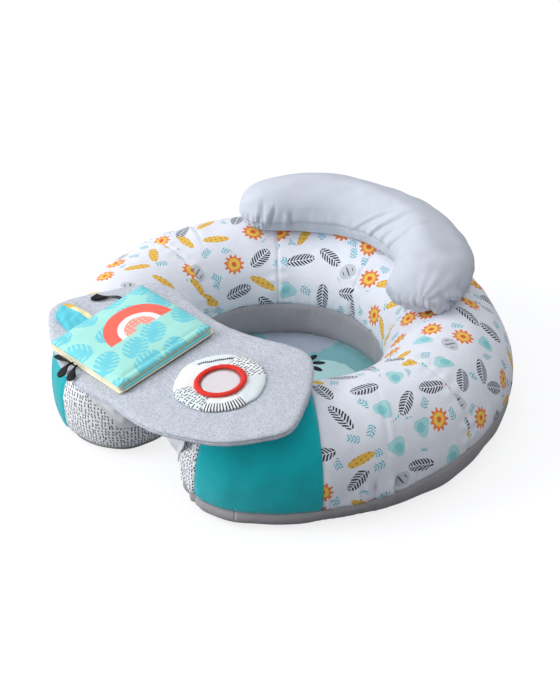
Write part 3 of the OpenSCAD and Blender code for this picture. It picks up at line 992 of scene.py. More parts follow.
    def build_print(self) -> None:
        """Printed cover over the back and sides, sewn from six gores."""
        sheet = Sheet("ring_print_cover")
        rng = np.random.default_rng(11)
        for low, high in zip(SEAMS[:-1], SEAMS[1:]):
            angles = np.linspace(low, high, int((high - low) / 0.6) + 1)
            points, radius, up = self.cover(angles, (SEAMS[0], SEAMS[-1]), True)
            u = np.radians(angles - (low + high) / 2)[:, None] * radius
            sheet.grid(points, np.stack([u, up], -1) + rng.uniform(0, 900, 2))
        piece = sheet.build(TUBE.core, thick_mm=self.skin)
        self.settle(piece, [Finish.PRINT], ["cover_print", "filling_back"], fill=0.9)

    def build_arm(self, side: int) -> None:
        """Plush cover and dashed end of one arm.

        Args:
            side: 1 for the right arm and -1 for the left.
        """
        name = "right" if side > 0 else "left"
        seam = self.end_seams[0 if side > 0 else 1]
        angles = np.linspace(-90 + TUBE.arm, -90 + self.print_seam, 44)
        if side < 0:
            angles = 180 - angles
        points, radius, up = self.cover(angles, angles[-1:], False)
        flats = np.stack([np.radians(angles)[:, None] * radius, up], -1)
        grids = [(points, flats), self.turned(side, seam)]
        way = math.radians(seam)
        normal = np.array([side * math.cos(way), math.sin(way), max(side, 0) * self.lean])
        for kind, sign, finish, nodes in (
                ("arm_cover", 1, Finish.PLUSH, [f"cover_arm_{name}", f"filling_{name}"]),
                ("arm_end", -1, Finish.DASH, [f"cover_end_{name}"])):
            piece = pane(f"{kind}_{name}", *grids).build(
                TUBE.core, sign * normal, self.skin)
            self.settle(piece, [finish], nodes, fill=0.9)

    def build_wall(self) -> None:
        """Plain knit wall round the inside of the seat, from the rim to the floor."""
        angles = np.linspace(-90 + TUBE.arm, 270 - TUBE.arm, 330)
        last = TUBE.angle_at(self.wall_foot, True) - 180
        t, down = TUBE.fan([-180, last], [26], len(angles))
        points, radius = self.swept(angles, t, FAR + 0 * down, down)
        a = np.radians(angles)[:, None]
        middle = np.sin(math.pi * down / down[:, -1:])
        drape = 0.6 * gathers(a * 143, 46, 51) * middle
        drape += 2.0 * near((angles[:, None] - 34) * 2.5, 2.2) * middle
        points[..., :2] += polar(drape, a)
        flats = np.stack([a * radius, down], -1)
        piece = pane("inner_wall_cover", (points, flats)).build(
            TUBE.core, thick_mm=self.skin)
        self.settle(piece, [Finish.WALL], ["inner_wall"], fill=0.9)

    def slump(self, points: Array) -> Array:
        """Loose cloth of the base that stands out under the right arm."""
        plan = points[..., :2]
        off = plan - TUBE.end
        away = np.hypot(plan[..., 0] - 165, plan[..., 1] + 255)
        push = 5.0 * near(away, 75) * blend_in(-points[..., 2], -26, -10)
        size = np.maximum(np.linalg.norm(off, axis=-1), 1.0)
        return raised(plan + off * (push / size)[..., None], points[..., 2])

    def build_base(self) -> None:
        """Plain base: a low band round the foot and the flat underside."""
        angles = np.linspace(-90 + TUBE.arm, 270 - TUBE.arm, 420)
        last = TUBE.angle_at(self.wall_foot, True) - 180
        t, down = TUBE.fan([TUBE.foot(angles), -90, last], [46, 38], len(angles))
        points, radius = self.swept(angles, t, down, FAR + 0 * down)
        grids = [(points, np.stack([np.radians(angles)[:, None] * radius, down], -1))]
        for side, seam in zip((1, -1), self.end_seams):
            grids.append(self.turned(side, seam, lowest=-90.0))
        piece = pane("base_cover", *((self.slump(points), flats)
                                     for points, flats in grids)).build(
            TUBE.core, thick_mm=self.skin)
        self.settle(piece, [Finish.BASE], ["base_panel"], fill=0.9)

    def build(self) -> None:
        """Builds every cover of the ring."""
        self.build_print()
        self.build_arm(1)
        self.build_arm(-1)
        self.build_wall()
        self.build_base()
        self.dress_nodes(Finish.TAPE, "loop_tray_right", "loop_back_right",
                         "loop_tray_left", "loop_back_left")


@dataclass
class SeatFloor(Part):
    """The padded floor inside the ring and the cloth under it."""

    top: float = 12.1
    radius: float = 150.0
    under_radius: float = 155.0

    def build(self) -> None:
        """Builds the quilted floor and its underside."""
        turns = full_turn(180)
        rings = []
        for share in [*np.linspace(0.0, 0.9, 30), *np.linspace(0.915, 1.0, 9)]:
            r = self.radius * share + 0 * turns
            plan = polar(r, turns)
            rise = 1.1 * ripple(plan, 90, 61) * (1 - share ** 6)
            rise += 0.8 * gathers(turns * 150, 16, 62) * blend_in(r, 122, 142)
            rings.append(raised(plan, self.top + rise - 3.4 * blend_in(r, 128, 150)))
        piece = loft("floor_pad", rings).build(
            lambda p: p * [1, 1, 0] - [0, 0, 5], thick_mm=1.2)
        self.settle(piece, [Finish.FLOOR], ["floor_cover", "floor_foam"], fill=0.3)
        rings = []
        for share in np.linspace(0, 1, 24):
            plan = polar(share * self.under_radius, turns)
            bumps = 0.25 * (1 + ripple(plan, 60, 63)) * (1 - share ** 8) / 1.5
            rings.append(raised(plan, bumps))
        piece = loft("floor_underside", rings).build(
            lambda p: p + [0, 0, 5], thick_mm=1.0)
        self.settle(piece, [Finish.BASE], ["floor_under"])


@dataclass
class Zip(Part):
    """The zip at the back of the base seam."""

    span: float = 60.0
    pitch_mm: float = 2.1
    proud: float = 88.6
    half_across: float = 0.68
    half_tall: float = 1.15

    def build(self) -> None:
        """Builds the teeth one by one and dresses tape, slider and pull."""
        low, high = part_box("zip_teeth")
        height = (low.z + high.z) / 2 / MM
        radius = TUBE.line_r + self.proud
        count = int(math.radians(self.span) * radius / self.pitch_mm)
        sheet = Sheet("zip_tooth_rows")
        for k in range(count):
            a = math.radians(90 - self.span / 2 + self.span * (k + 0.5) / count)
            up = 0.7 if k % 2 else -0.7
            way, side = polar(1.0, a), polar(1.0, a + math.pi / 2)
            rings = []
            for depth, grow in ((0.0, 0.8), (0.3, 1.0), (1.3, 1.0), (1.8, 0.7)):
                rings.append(np.array([
                    [*(way * (radius + depth) + side * cx * self.half_across * grow),
                     height + up + cz * self.half_tall * grow]
                    for cx, cz in ((-1, -1), (1, -1), (1, 1), (-1, 1))]))
            ends = [np.repeat(ring.mean(0)[None], 4, 0) for ring in (rings[0], rings[-1])]
            sheet.hoops([ends[0], *rings, ends[1]])
        piece = sheet.build(lambda p: p * (1 - 0.9 / np.linalg.norm(p)))
        piece.data.polygons.foreach_set("use_smooth", [False] * len(piece.data.polygons))
        self.settle(piece, [Finish.ZIP_TEETH], ["zip_teeth"])
        self.dress_nodes(Finish.ZIP_CLOTH, "zip_tape")
        self.dress_nodes(Finish.ZIP_METAL, "zip_slider", "zip_pull")
        for node in ("zip_slider", "zip_pull"):
            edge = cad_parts[node].modifiers.new("rounded_edges", "BEVEL")
            edge.width, edge.segments = 0.25 * MM, 2


# ---- the tray ----------------------------------------------------------------------


@dataclass
class TrayPlace:
    """Where the tray lies, and the flat frames of the things on it."""

    slope: float = 9.0
    lift: float = 169.2
    disc_at: tuple[float, float] = (93.5, -221.0)
    book_at: tuple[float, float] = (-62.5, -224.5)
    book_turn: float = -5.0

    def tray(self, points: Array) -> Array:
        """Slopes and lifts points drawn flat with the tray's top at 0."""
        hinge = TUBE.end[1]
        y, z = spun(points[..., 1] - hinge, points[..., 2], self.slope)
        return np.stack([points[..., 0], hinge + y, self.lift + z], -1)

    def disc(self, points: Array) -> Array:
        """Places points drawn round the mirror panel's centre."""
        return self.tray(points + [*self.disc_at, 0])

    def book(self, points: Array) -> Array:
        """Places points drawn in the book's frame, spine to +x."""
        x, y = spun(points[..., 0], points[..., 1], self.book_turn)
        return self.tray(np.stack([
            self.book_at[0] + x, self.book_at[1] + y, points[..., 2]], -1))


PLACE = TrayPlace()
# right half of the tray's outline, from the front to the baby's side
TRAY_HALF = ((0, -336), (38, -335), (72, -331), (105, -320), (138, -303.5), (169, -283),
             (197, -260), (212, -244), (217, -230), (213, -211), (201, -191),
             (180, -160), (159, -131), (141, -114), (122, -108.5), (99, -110.5),
             (70, -118), (35, -125), (0, -127.5))


@dataclass
class Tray(Part):
    """The padded tray: top cover, side band, underside, touch tape and hanging tabs."""

    body: str = "tray"
    stretch: float = 440 / 438
    middle: tuple[float, float] = (13.0, -226.0)

    def outline(self, inset: float = 0.0, steps: int = 6) -> Array:
        """Smooth closed outline of the tray.

        Args:
            inset: How far it is drawn in towards the middle, in millimetres.
            steps: Points between each two measured ones.

        Returns:
            Array (n, 2) of flat points.
        """
        half = np.array(TRAY_HALF, float)
        ring = np.vstack([half, half[-2:0:-1] * [-1, 1]])
        made = []
        for i in range(len(ring)):
            p0, p1, p2, p3 = (ring[(i + k) % len(ring)] for k in (-1, 0, 1, 2))
            for j in range(steps):
                u = j / steps
                made.append(0.5 * (2 * p1 + (p2 - p0) * u + (2 * p0 - 5 * p1 + 4 * p2 - p3)
                                   * u * u + (3 * p1 - p0 - 3 * p2 + p3) * u ** 3))
        points = np.array(made) * [self.stretch, 1] + [self.middle[0], 0]
        off = points - self.middle
        size = np.linalg.norm(off, axis=1, keepdims=True)
        turn = np.degrees(np.arctan2(off[:, 1], off[:, 0]))
        shape = 5 * near(np.abs(turn) - 180, 22) - 9 * near(turn + 103, 30)
        shape += 6 * near(turn + 25, 12) - 9 * near(turn - 1, 12)
        return self.middle + off * (1 + (shape[:, None] - inset) / size)

    def run(self) -> Array:
        """Distance along the outline of each of its points, in millimetres."""
        steps = np.linalg.norm(np.diff(self.outline(), axis=0), axis=1)
        return np.concatenate([[0], np.cumsum(steps)])

    def field(self, plan: Array, last: float, count: int) -> list[Array]:
        """Rings of flat points from a share of an outline's size down to its middle."""
        middle = np.array(self.middle)
        return [middle + (plan - middle) * share for share in np.linspace(last, 0.0, count)]

    def dents(self, plan: Array) -> Array:
        """Shallow dents and dimples of the padded top; it never stands above its plane."""
        return -0.7 * (1 + ripple(plan, 110, 71) / 2) - 0.35 * (1 + ripple(plan, 34, 72) / 2)

    def build_top(self) -> None:
        """Marled cover over the foam, rounded down to its seam with the side band."""
        edge = ((0.9, -5.7), (0.3, -5.0), (0.1, -4.1), (0.8, -2.9), (2.0, -1.9),
                (3.8, -1.1), (6.5, -0.5), (10.0, -0.2))
        rings, flats = [], []
        along = self.run()
        for k, (inset, w) in enumerate(edge):
            share = k / len(edge)
            plan = self.outline(inset)
            rise = share * self.dents(plan) + 0.35 * gathers(along, 21, 73) * (1 - share)
            rings.append(PLACE.tray(raised(plan, w + rise)))
            flats.append(plan)
        for plan in self.field(plan, 0.97, 34):
            rings.append(PLACE.tray(raised(plan, self.dents(plan))))
            flats.append(plan)
        piece = loft("tray_top", rings, flats).build(
            lambda p: p - [0, 0, 8], thick_mm=1.2)
        self.settle(piece, [Finish.HEATHER], ["tray_top_cover", "tray_foam"], fill=0.45)

    def build_band(self) -> None:
        """Side band between the two seams, a little puckered where the foam presses."""
        along = self.run()
        rings, flats = [], []
        for inset, w in ((1.2, -5.6), (0.4, -6.3), (-0.2, -7.3), (-0.4, -8.6),
                         (-0.2, -9.9), (0.7, -11.1), (2.2, -12.0), (3.6, -12.5)):
            plan = self.outline(inset)
            off = plan - self.middle
            swell = 0.3 * gathers(along, 24, 74)[:, None]
            plan = plan + off / np.linalg.norm(off, axis=1, keepdims=True) * swell
            rings.append(PLACE.tray(raised(plan, w)))
            flats.append(np.column_stack([along, w + 0 * along]))
        piece = loft("tray_side_seamed_band", rings, flats).build(
            lambda p: np.array([self.middle[0], self.middle[1], p[2]]), thick_mm=1.1)
        self.settle(piece, [Finish.HEATHER], ["tray_side_band"], fill=0.45)

    def build_underside(self) -> None:
        """Plain underside of the tray."""
        rings = [PLACE.tray(raised(self.outline(inset), w)) for inset, w in (
            (3.4, -12.4), (5.5, -13.0), (9, -13.8), (15, -14.8), (24, -15.7))]
        for plan in self.field(self.outline(24.0), 0.93, 22):
            rings.append(PLACE.tray(raised(plan, -15.7 + 0.25 * ripple(plan, 70, 75))))
        piece = loft("tray_underside", rings).build(
            lambda p: p + [0, 0, 6], thick_mm=1.0)
        self.settle(piece, [Finish.TAB], ["tray_bottom_cover"], fill=0.45)

    def build_tabs(self) -> None:
        """Cloth flaps that hang from the tray over the inner side of each arm's end."""
        centre = TUBE.end
        top = PLACE.tray(np.array([centre[0] - 70, centre[1] - 50, -15.6]))[2]
        for side in (1, -1):
            z = np.linspace(top, 47, 46)[None, :]
            share = np.linspace(-1, 1, 40)[:, None]
            spread = 8 + (15 + 9 * (share > 0) * share) * blend_in(z, 48, 108)
            turns = np.radians(-141 + share * spread)
            proud = blend_in(z, 48, 86) * (1 - blend_in(share, 0.15, 0.95))
            q = 90.8 + 14.2 * proud - 1.2 * blend_in(z, 110, 150)
            run = turns * 100
            q = q + 1.1 * gathers(run + 0.25 * z, 24, 76 + side) * proud
            q = q + 0.8 * ripple(np.stack([run, z + 0 * run], -1), 26, 79)
            q = np.maximum(q, 90.9)
            height = z + 2.0 * near(np.abs(share) - 1, 0.3) * blend_in(-z, -70, -48)
            grid = TUBE.round_end(side, q, turns, height)
            tilt = (grid[..., 1] - centre[1] + 50) * math.tan(math.radians(PLACE.slope))
            grid[..., 2] += tilt * blend_in(z, 100, top)
            name = "right" if side > 0 else "left"
            flats = np.stack([run, z + 0 * run], -1)
            piece = pane(f"tray_tab_{name}", (grid, flats)).build(
                TUBE.core, thick_mm=1.0)
            self.settle(piece, [Finish.TAB], [f"tab_{name}"])

    def build(self) -> None:
        """Builds the tray."""
        self.build_top()
        self.build_band()
        self.build_underside()
        self.build_tabs()
        self.dress_nodes(Finish.TAPE, "hook_tray_right", "hook_tray_left")


@dataclass
class MirrorPanel(Part):
    """Round pieced panel with a mirror film held by a red stuffed ring."""

    body: str = "tray"
    radius: float = 55.0
    ring_r: float = 27.0
    film_r: float = 25.6
    ring_at: tuple[float, float, float] = (3.7, -1.6, 0.0)

    def drawn(self) -> tuple[Array, Array]:
        """Angles round the mirror and how far it is drawn out of round at each."""
        turns = full_turn(144)
        return turns, 1 + 0.1 * np.cos(turns - math.radians(55)) ** 2

    def build_pad(self) -> None:
        """Pad pieced from six wedges, raised round the mirror."""
        turns = full_turn(144)
        wavy = 1 + 0.016 * gathers(turns * 55, 60, 81) + 0.006 * gathers(turns * 55, 14, 86)
        wavy = wavy + 0.07 * np.cos(turns - math.radians(42)) ** 2
        profile = ((1.0, 0.2), (1.012, 0.9), (1.0, 2.0), (0.965, 3.1), (0.91, 3.9),
                   (0.84, 4.5), (0.75, 4.8), (0.66, 4.9), (0.58, 4.6), (0.5, 4.4),
                   (0.4, 4.4), (0.2, 4.4), (0.0, 4.4))
        flats = [polar(0.0, turns)]
        rings = [PLACE.disc(raised(flats[0], 0.1))]
        for share, w in profile:
            r = self.radius * share * wavy
            plan = polar(r, turns)
            seams = sum(near(np.angle(np.exp(1j * (turns - math.radians(50 + 60 * k)))) * r,
                             1.8) for k in range(6))
            rise = 0.35 * ripple(plan, 17, 82) * (0.55 < share < 0.99)
            height = np.maximum(w + rise - 0.9 * seams * (share > 0.5) * (w > 1), 0.2)
            rings.append(PLACE.disc(raised(plan, height)))
            flats.append(plan)
        piece = loft("mirror_panel_pad", rings, flats).build(
            centre_of(PLACE.disc, 0, 0, 2.5))
        self.settle(piece, [Finish.PANEL], ["disc_pad"], fill=0.4)

    def build_film(self) -> None:
        """Soft mirror: a thin disc inside the red ring."""
        turns, drawn = self.drawn()
        rings = [PLACE.disc(self.ring_at + raised(polar(self.film_r * share * drawn, turns), w))
                 for share, w in ((0.0, 5.0), (1.0, 5.0), (1.0, 5.7), (0.75, 5.9),
                                  (0.4, 6.0), (0.0, 6.0))]
        piece = loft("mirror_film_disc", rings).build(
            centre_of(PLACE.disc, *self.ring_at[:2], 5.4))
        self.settle(piece, [Finish.FILM], ["mirror_film"])

    def build_ring(self) -> None:
        """Stuffed red ring that holds the film."""
        turns, drawn = self.drawn()
        rings, flats = [], []
        body = 1 + 0.05 * gathers(turns * 27, 9, 83)
        for a in full_turn(18):
            r = self.ring_r + 0.5 + 3.5 * body * math.cos(a)
            r = r * drawn * (1 + 0.012 * gathers(turns * 27, 60, 84))
            w = 7.2 + 2.4 * body * math.sin(a)
            w = np.maximum(w, 5.3 if math.cos(a) > 0 else 5.9)
            rings.append(PLACE.disc(self.ring_at + raised(polar(r, turns), w)))
            flats.append(np.column_stack([turns * 27, 0 * turns + a * 4]))
        sheet = loft("red_roll", [*rings, rings[0]], [*flats, flats[0]])
        hub = PLACE.disc(self.ring_at + np.array([0.0, 0.0, 7.0]))

        def inner(p: Array) -> Array:
            away = p - hub
            return hub + away / np.linalg.norm(away) * self.ring_r

        self.settle(sheet.build(inner), [Finish.RED], ["mirror_rim"], fill=0.8)

    def build(self) -> None:
        """Builds pad, film and red ring."""
        self.build_pad()
        self.build_film()
        self.build_ring()


@dataclass
class Book(Part):
    """The cloth book: two padded covers, two leaves, spine, tags, ribbon and flap."""

    body: str = "tray"
    width: float = 147.0
    length: float = 162.0
    cover_t: float = 4.4
    page_t: float = 3.0
    gap: float = 0.3
    hinge_z: float = 6.4
    spine_r: float = 2.0

    def outline(self, half_u: float, half_v: float, corner: float, step: float) -> Array:
        """Rectangle with rounded corners, as points round it.

        Args:
            half_u: Half its size across the book.
            half_v: Half its size along the spine.
            corner: Radius of its corners.
            step: Length of a step in millimetres.

        Returns:
            Array (n, 2).
        """
        made = []
        flat_u, flat_v = half_u - corner, half_v - corner
        for k, (x, y) in enumerate(((1, 1), (-1, 1), (-1, -1), (1, -1))):
            turn = np.radians(np.linspace(90 * k, 90 * k + 90, 6))
            made.append(np.stack([x * flat_u + corner * np.cos(turn),
                                  y * flat_v + corner * np.sin(turn)], -1))
            long = 2 * (flat_u if k % 2 == 0 else flat_v)
            count = max(2, int(long / step))
            share = np.linspace(0, 1, count + 1)[1:-1, None]
            nxt = ((-1, 1), (-1, -1), (1, -1), (1, 1))[k]
            turn = math.radians(90 * k + 90)
            p0 = made[-1][-1]
            p1 = np.array([nxt[0] * flat_u + corner * math.cos(turn),
                           nxt[1] * flat_v + corner * math.sin(turn)])
            made.append(p0 + (p1 - p0) * share)
        return np.vstack(made)

    def press(self, plan: Array, height: Array) -> Array:
        """Heights of a stack that is thick in the middle and thin at its open edges."""
        u, v = plan[..., 0] / (self.width / 2), np.abs(plan[..., 1]) / (self.length / 2)
        side = np.where(u < 0, np.abs(u) ** 6, 0.7 * np.abs(u) ** 6)
        edge = np.clip(np.maximum(side, v ** 7), 0, 1)
        return height * (1 - 0.36 * edge)

    def leaf(self, name: str, span: tuple[float, float, float], base: float, t: float,
             swell: float) -> Sheet:
        """Padded leaf with soft edges; the front cover has a crease beside the spine.

        Args:
            name: Name of the piece.
            span: Where it starts and ends across the book, and half its length.
            base: Height of its underside over the tray.
            t: Its thickness.
            swell: How far its top stands out in the middle, in millimetres.

        Returns:
            The sheet, with slot 1 on the lower part of its edge.
        """
        u0, u1, half = span
        centre = np.array([(u0 + u1) / 2, 0.0])
        unit = self.outline((u1 - u0) / 2, half, 3.0, 3.0)
        profile = [(0.0, 0.0), (0.3, 0.0), (0.6, 0.0), (0.8, 0.0), (0.9, 0.0),
                   (0.96, 0.02), (0.985, 0.08), (0.996, 0.25), (1.0, 0.5), (0.996, 0.75),
                   (0.985, 0.92), (0.965, 1.0)]
        profile += [(share, 1.0) for share in np.linspace(0.94, 0.0, 34)]
        rings, flats, marks = [], [], []
        for share, level in profile:
            plan = centre + unit * share
            puff = swell * np.prod(1 - np.clip(np.abs((plan - centre) / np.array(
                [(u1 - u0) / 2, half])), 0, 1) ** 3, axis=1)
            height = base + t * level + 0 * puff
            if level > 0.5:
                height += puff + 0.35 * np.abs(ripple(plan, 48, 90 + int(base)))
                if swell:
                    height += 1.3 * near(plan[:, 1] + half, 16) * near(plan[:, 0] + 22, 30)
                    height += 0.7 * near(plan[:, 1] + half, 12) * gathers(
                        plan[:, 0], 46, 91)
                    height -= 1.5 * near(plan[:, 0] - (u1 - 9), 2.0)
                    height += 0.9 * near(plan[:, 0] - (u1 - 3), 3.5)
            rings.append(PLACE.book(raised(plan, self.press(plan, height))))
            flats.append(plan)
            marks.append(1 if 0.95 < share and 0.01 < level < (0.3 if swell else 0.96)
                         else 0)
        return loft(name, rings, flats, marks)

    def build(self) -> None:
        """Builds the book, closed."""
        bu, bl = self.width / 2, self.length / 2
        lower = self.cover_t + self.gap
        upper = lower + self.page_t + self.gap
        front = upper + self.page_t + self.gap
        rows = (
            ("book_cover_back", (-bu, bu, bl), 0.0, self.cover_t, 0.0, Finish.BOOK_BACK,
             "book_back_cover", "tray"),
            ("book_leaf_lower", (3 - bu, bu - 2.5, bl - 2), lower, self.page_t, 0.0,
             Finish.PAGE, "book_page_lower", "page_lower"),
            ("book_leaf_upper", (2 - bu, bu - 2.5, bl - 2), upper, self.page_t, 0.0,
             Finish.PAGE, "book_page_upper", "page_upper"),
            ("book_cover_front", (1.6 - bu, bu - 2, bl - 1.8), front, self.cover_t, 1.6,
             Finish.BOOK, "book_front_cover", "book_cover"),
        )
        for name, span, base, t, swell, finish, node, body in rows:
            piece = self.leaf(name, span, base, t, swell).build(
                centre_of(PLACE.book, 0, 0, base + t / 2))
            self.settle(piece, [finish, Finish.PAGE], [node], body, 0.35)
        self.build_spine()
        self.build_tags()
        self.build_ribbon()
        self.build_flap()

    def build_spine(self) -> None:
        """Strip up from the back cover and the sewn roll that the leaves turn on."""
        bu, bl = self.width / 2, self.length / 2
        reach = bl - 8
        v = np.concatenate([[-reach], np.linspace(-reach, reach, 60), [reach]])
        r = self.spine_r * np.concatenate([[0.0], np.full(60, 1.0), [0.0]])
        r = r * (1 + 0.05 * gathers(v, 11, 95))
        turns = full_turn(20)
        turns = np.append(turns, turns[0])[:, None]
        v = v + 0 * turns
        grid = np.stack([bu + r * np.cos(turns), v, self.hinge_z + r * np.sin(turns)], -1)
        flats = np.stack([v, v * 0 + np.degrees(turns) / 20], -1)
        piece = pane("book_spine_roll", (PLACE.book(grid), flats)).build(
            centre_of(PLACE.book, bu, 0, self.hinge_z))
        self.settle(piece, [Finish.SPINE], ["book_spine"], fill=0.7)
        v = np.linspace(-reach, reach, 110)
        w = np.linspace(0.3, 5.2, 9)[:, None]
        bow = 0.9 + 0.35 * np.sin((w - 0.3) / 4.9 * math.pi)
        bow = bow + 0.25 * np.abs(np.sin(v / 2.6 * math.pi)) * (w > 2.0)
        grid = np.stack([bu + 0.3 + bow, v[None, :] + 0 * w, w + 0 * v], -1)
        grid, flats = PLACE.book(grid), np.stack([v + 0 * w, w + 0 * v], -1)
        piece = pane("book_spine_strip", (grid[:4], flats[:4], 1),
                     (grid[3:], flats[3:])).build(
            centre_of(PLACE.book, 0, 0, 4), thick_mm=0.9)
        self.settle(piece, [Finish.PAGE, Finish.RIBBON])

    def petal(self, at: tuple[float, float], way: float, size: tuple[float, float],
              fall: float) -> list[Array]:
        """Rings of a stuffed petal tag on its ribbon, in the book's frame.

        Args:
            at: Where it is sewn on.
            way: Direction that it points, in degrees.
            size: Its length and width.
            fall: How far it falls from the book's edge to the tray.

        Returns:
            Rings in book coordinates.
        """
        turns = full_turn(44)
        length, width = size
        x = length / 2 - length / 2 * np.cos(turns)
        tip = length - width / 2
        y = width / 2 * np.sign(np.sin(turns)) * np.where(
            x > tip, np.sqrt(np.clip(1 - ((x - tip) / (width / 2)) ** 2, 0, 1)),
            (0.18 + 0.82 * blend_in(x, 0.25 * length, tip)) * blend_in(x, -0.5, 0.5))
        rings = []
        for share, w in ((0.0, 0.1), (0.9, 0.1), (1.0, 0.9), (0.9, 1.7), (0.5, 2.3),
                         (0.0, 2.4)):
            px = length / 2 + (x - length / 2) * share
            u, v = spun(px, y * share, way)
            u, v = at[0] + u, at[1] + v
            arch = 4.2 - fall * blend_in(px, 0.2 * length, 0.75 * length)
            arch += 2.2 * np.sin(math.pi * np.clip(px / (0.7 * length), 0, 1))
            droop = 5.0 * np.clip((-v - 97) / 14, 0, 1) ** 2
            rings.append(np.column_stack([u, v, arch + w - droop]))
        return rings

    def build_tags(self) -> None:
        """Petal tags at the book's front edge."""
        bl = self.length / 2
        sheet = Sheet("book_petal_tags")
        for at, way, long, wide, fall in (
                ((-12, 0.4), -66, 27, 13, 3.6), ((-20, 0.2), -90, 28, 13, 3.6),
                ((-10, 4.4), -176, 42, 8, 0.6)):
            rings = self.petal((at[0], -bl - at[1]), way, (long, wide), fall)
            sheet.hoops([PLACE.book(ring) for ring in rings])
        piece = sheet.build(centre_of(PLACE.book, -18, -bl - 12, 1))
        self.settle(piece, [Finish.RIBBON], ["book_tags"])

    def build_ribbon(self) -> None:
        """Ribbon loop that lies on the tray at the book's open edge."""
        bu = self.width / 2
        u = np.linspace(0, 30, 31)
        sheet = Sheet("book_ribbon_loop")
        for base, shift in ((3.4, 0.0), (5.4, 1.2)):
            wide = 1.1 + 4.6 * blend_in(u, 14, 26)
            v = 45.0 + shift - 19 * blend_in(u, 2, 30)[:, None] + wide[:, None] * np.linspace(
                -1, 1, 9)
            lift = base + 1.2 * np.sin(u / 5) - 1.6 * blend_in(u, 16, 30)
            grid = np.stack([-bu - 0.2 - 1.35 * u[:, None] + 0 * v, v,
                             lift[:, None] + 0 * v], -1)
            sheet.grid(PLACE.book(grid), grid[..., :2] + [0, 30 * shift])
        piece = sheet.build(lambda p: p - [0, 0, 9], thick_mm=0.8)
        self.settle(piece, [Finish.RIBBON], ["book_ribbon"])

    def build_flap(self) -> None:
        """Cyan crackle flap under the book, with a cream edge and a gold corner."""
        bu = self.width / 2
        t = np.linspace(0, 1, 49)[:, None]
        share = np.linspace(0, 1, 41)[None, :]
        reach = np.interp(t, (0, 0.06, 0.18, 0.4, 0.62, 0.8, 0.93, 1),
                          (22, 34, 47, 56, 61, 64, 62, 54))
        grid = np.stack([-bu - 0.1 - reach * share,
                         -45 + 44 * t + 2.5 * share * (1 - 2 * t),
                         1.3 + 2.2 * np.sin(reach * share / 15) + 0.5 * ripple(
                             np.stack([reach * share, 44 * t + 0 * share], -1), 15, 96)
                         ], -1)
        sheet = Sheet("book_crackle_flap")
        for rows, columns, mark in ((slice(0, 40), slice(0, 41), 0),
                                    (slice(39, 49), slice(0, 30), 1),
                                    (slice(39, 49), slice(29, 41), 2)):
            part = grid[rows, columns]
            sheet.grid(PLACE.book(part), part[..., :2], mark)
        piece = sheet.build(lambda p: p - [0, 0, 9], thick_mm=0.8)
        self.settle(piece, [Finish.CRACKLE, Finish.FLAP_CREAM, Finish.FLAP_GOLD],
                    ["book_flap"])


# ---- the back cushion ----------------------------------------------------------------


# creases on the side towards the baby: place along the cushion, lean, depth, low and high
CREASES = ((0.80, 0.2, 2.0, -22, 16), (0.66, -0.1, 1.8, -24, 6), (0.88, 0.4, 1.6, -14, 22),
           (0.05, 1.5, 1.6, -10, 34), (-0.10, 1.1, 2.6, -10, 44), (-0.17, 0.8, 1.4, -8, 26),
           (-0.31, 0.9, 2.2, -8, 44), (-0.42, 0.4, 1.2, -10, 24),
           (-0.85, -0.5, 2.0, -20, 12), (-0.74, -0.3, 1.6, -24, 6))
# folds at the right end: place out and up from its middle, direction, half length, depth
END_FOLDS = ((12, -20, -50, 18, 7.0), (26, -25, 20, 16, 6.5), (38, -12, -60, 18, 7.0),
             (-20, -32, 80, 11, 2.8), (-4, -34, 95, 11, 3.0), (9, -36, 100, 10, 2.4),
             (-34, -24, 70, 12, 2.4), (46, 8, -70, 15, 5.0))


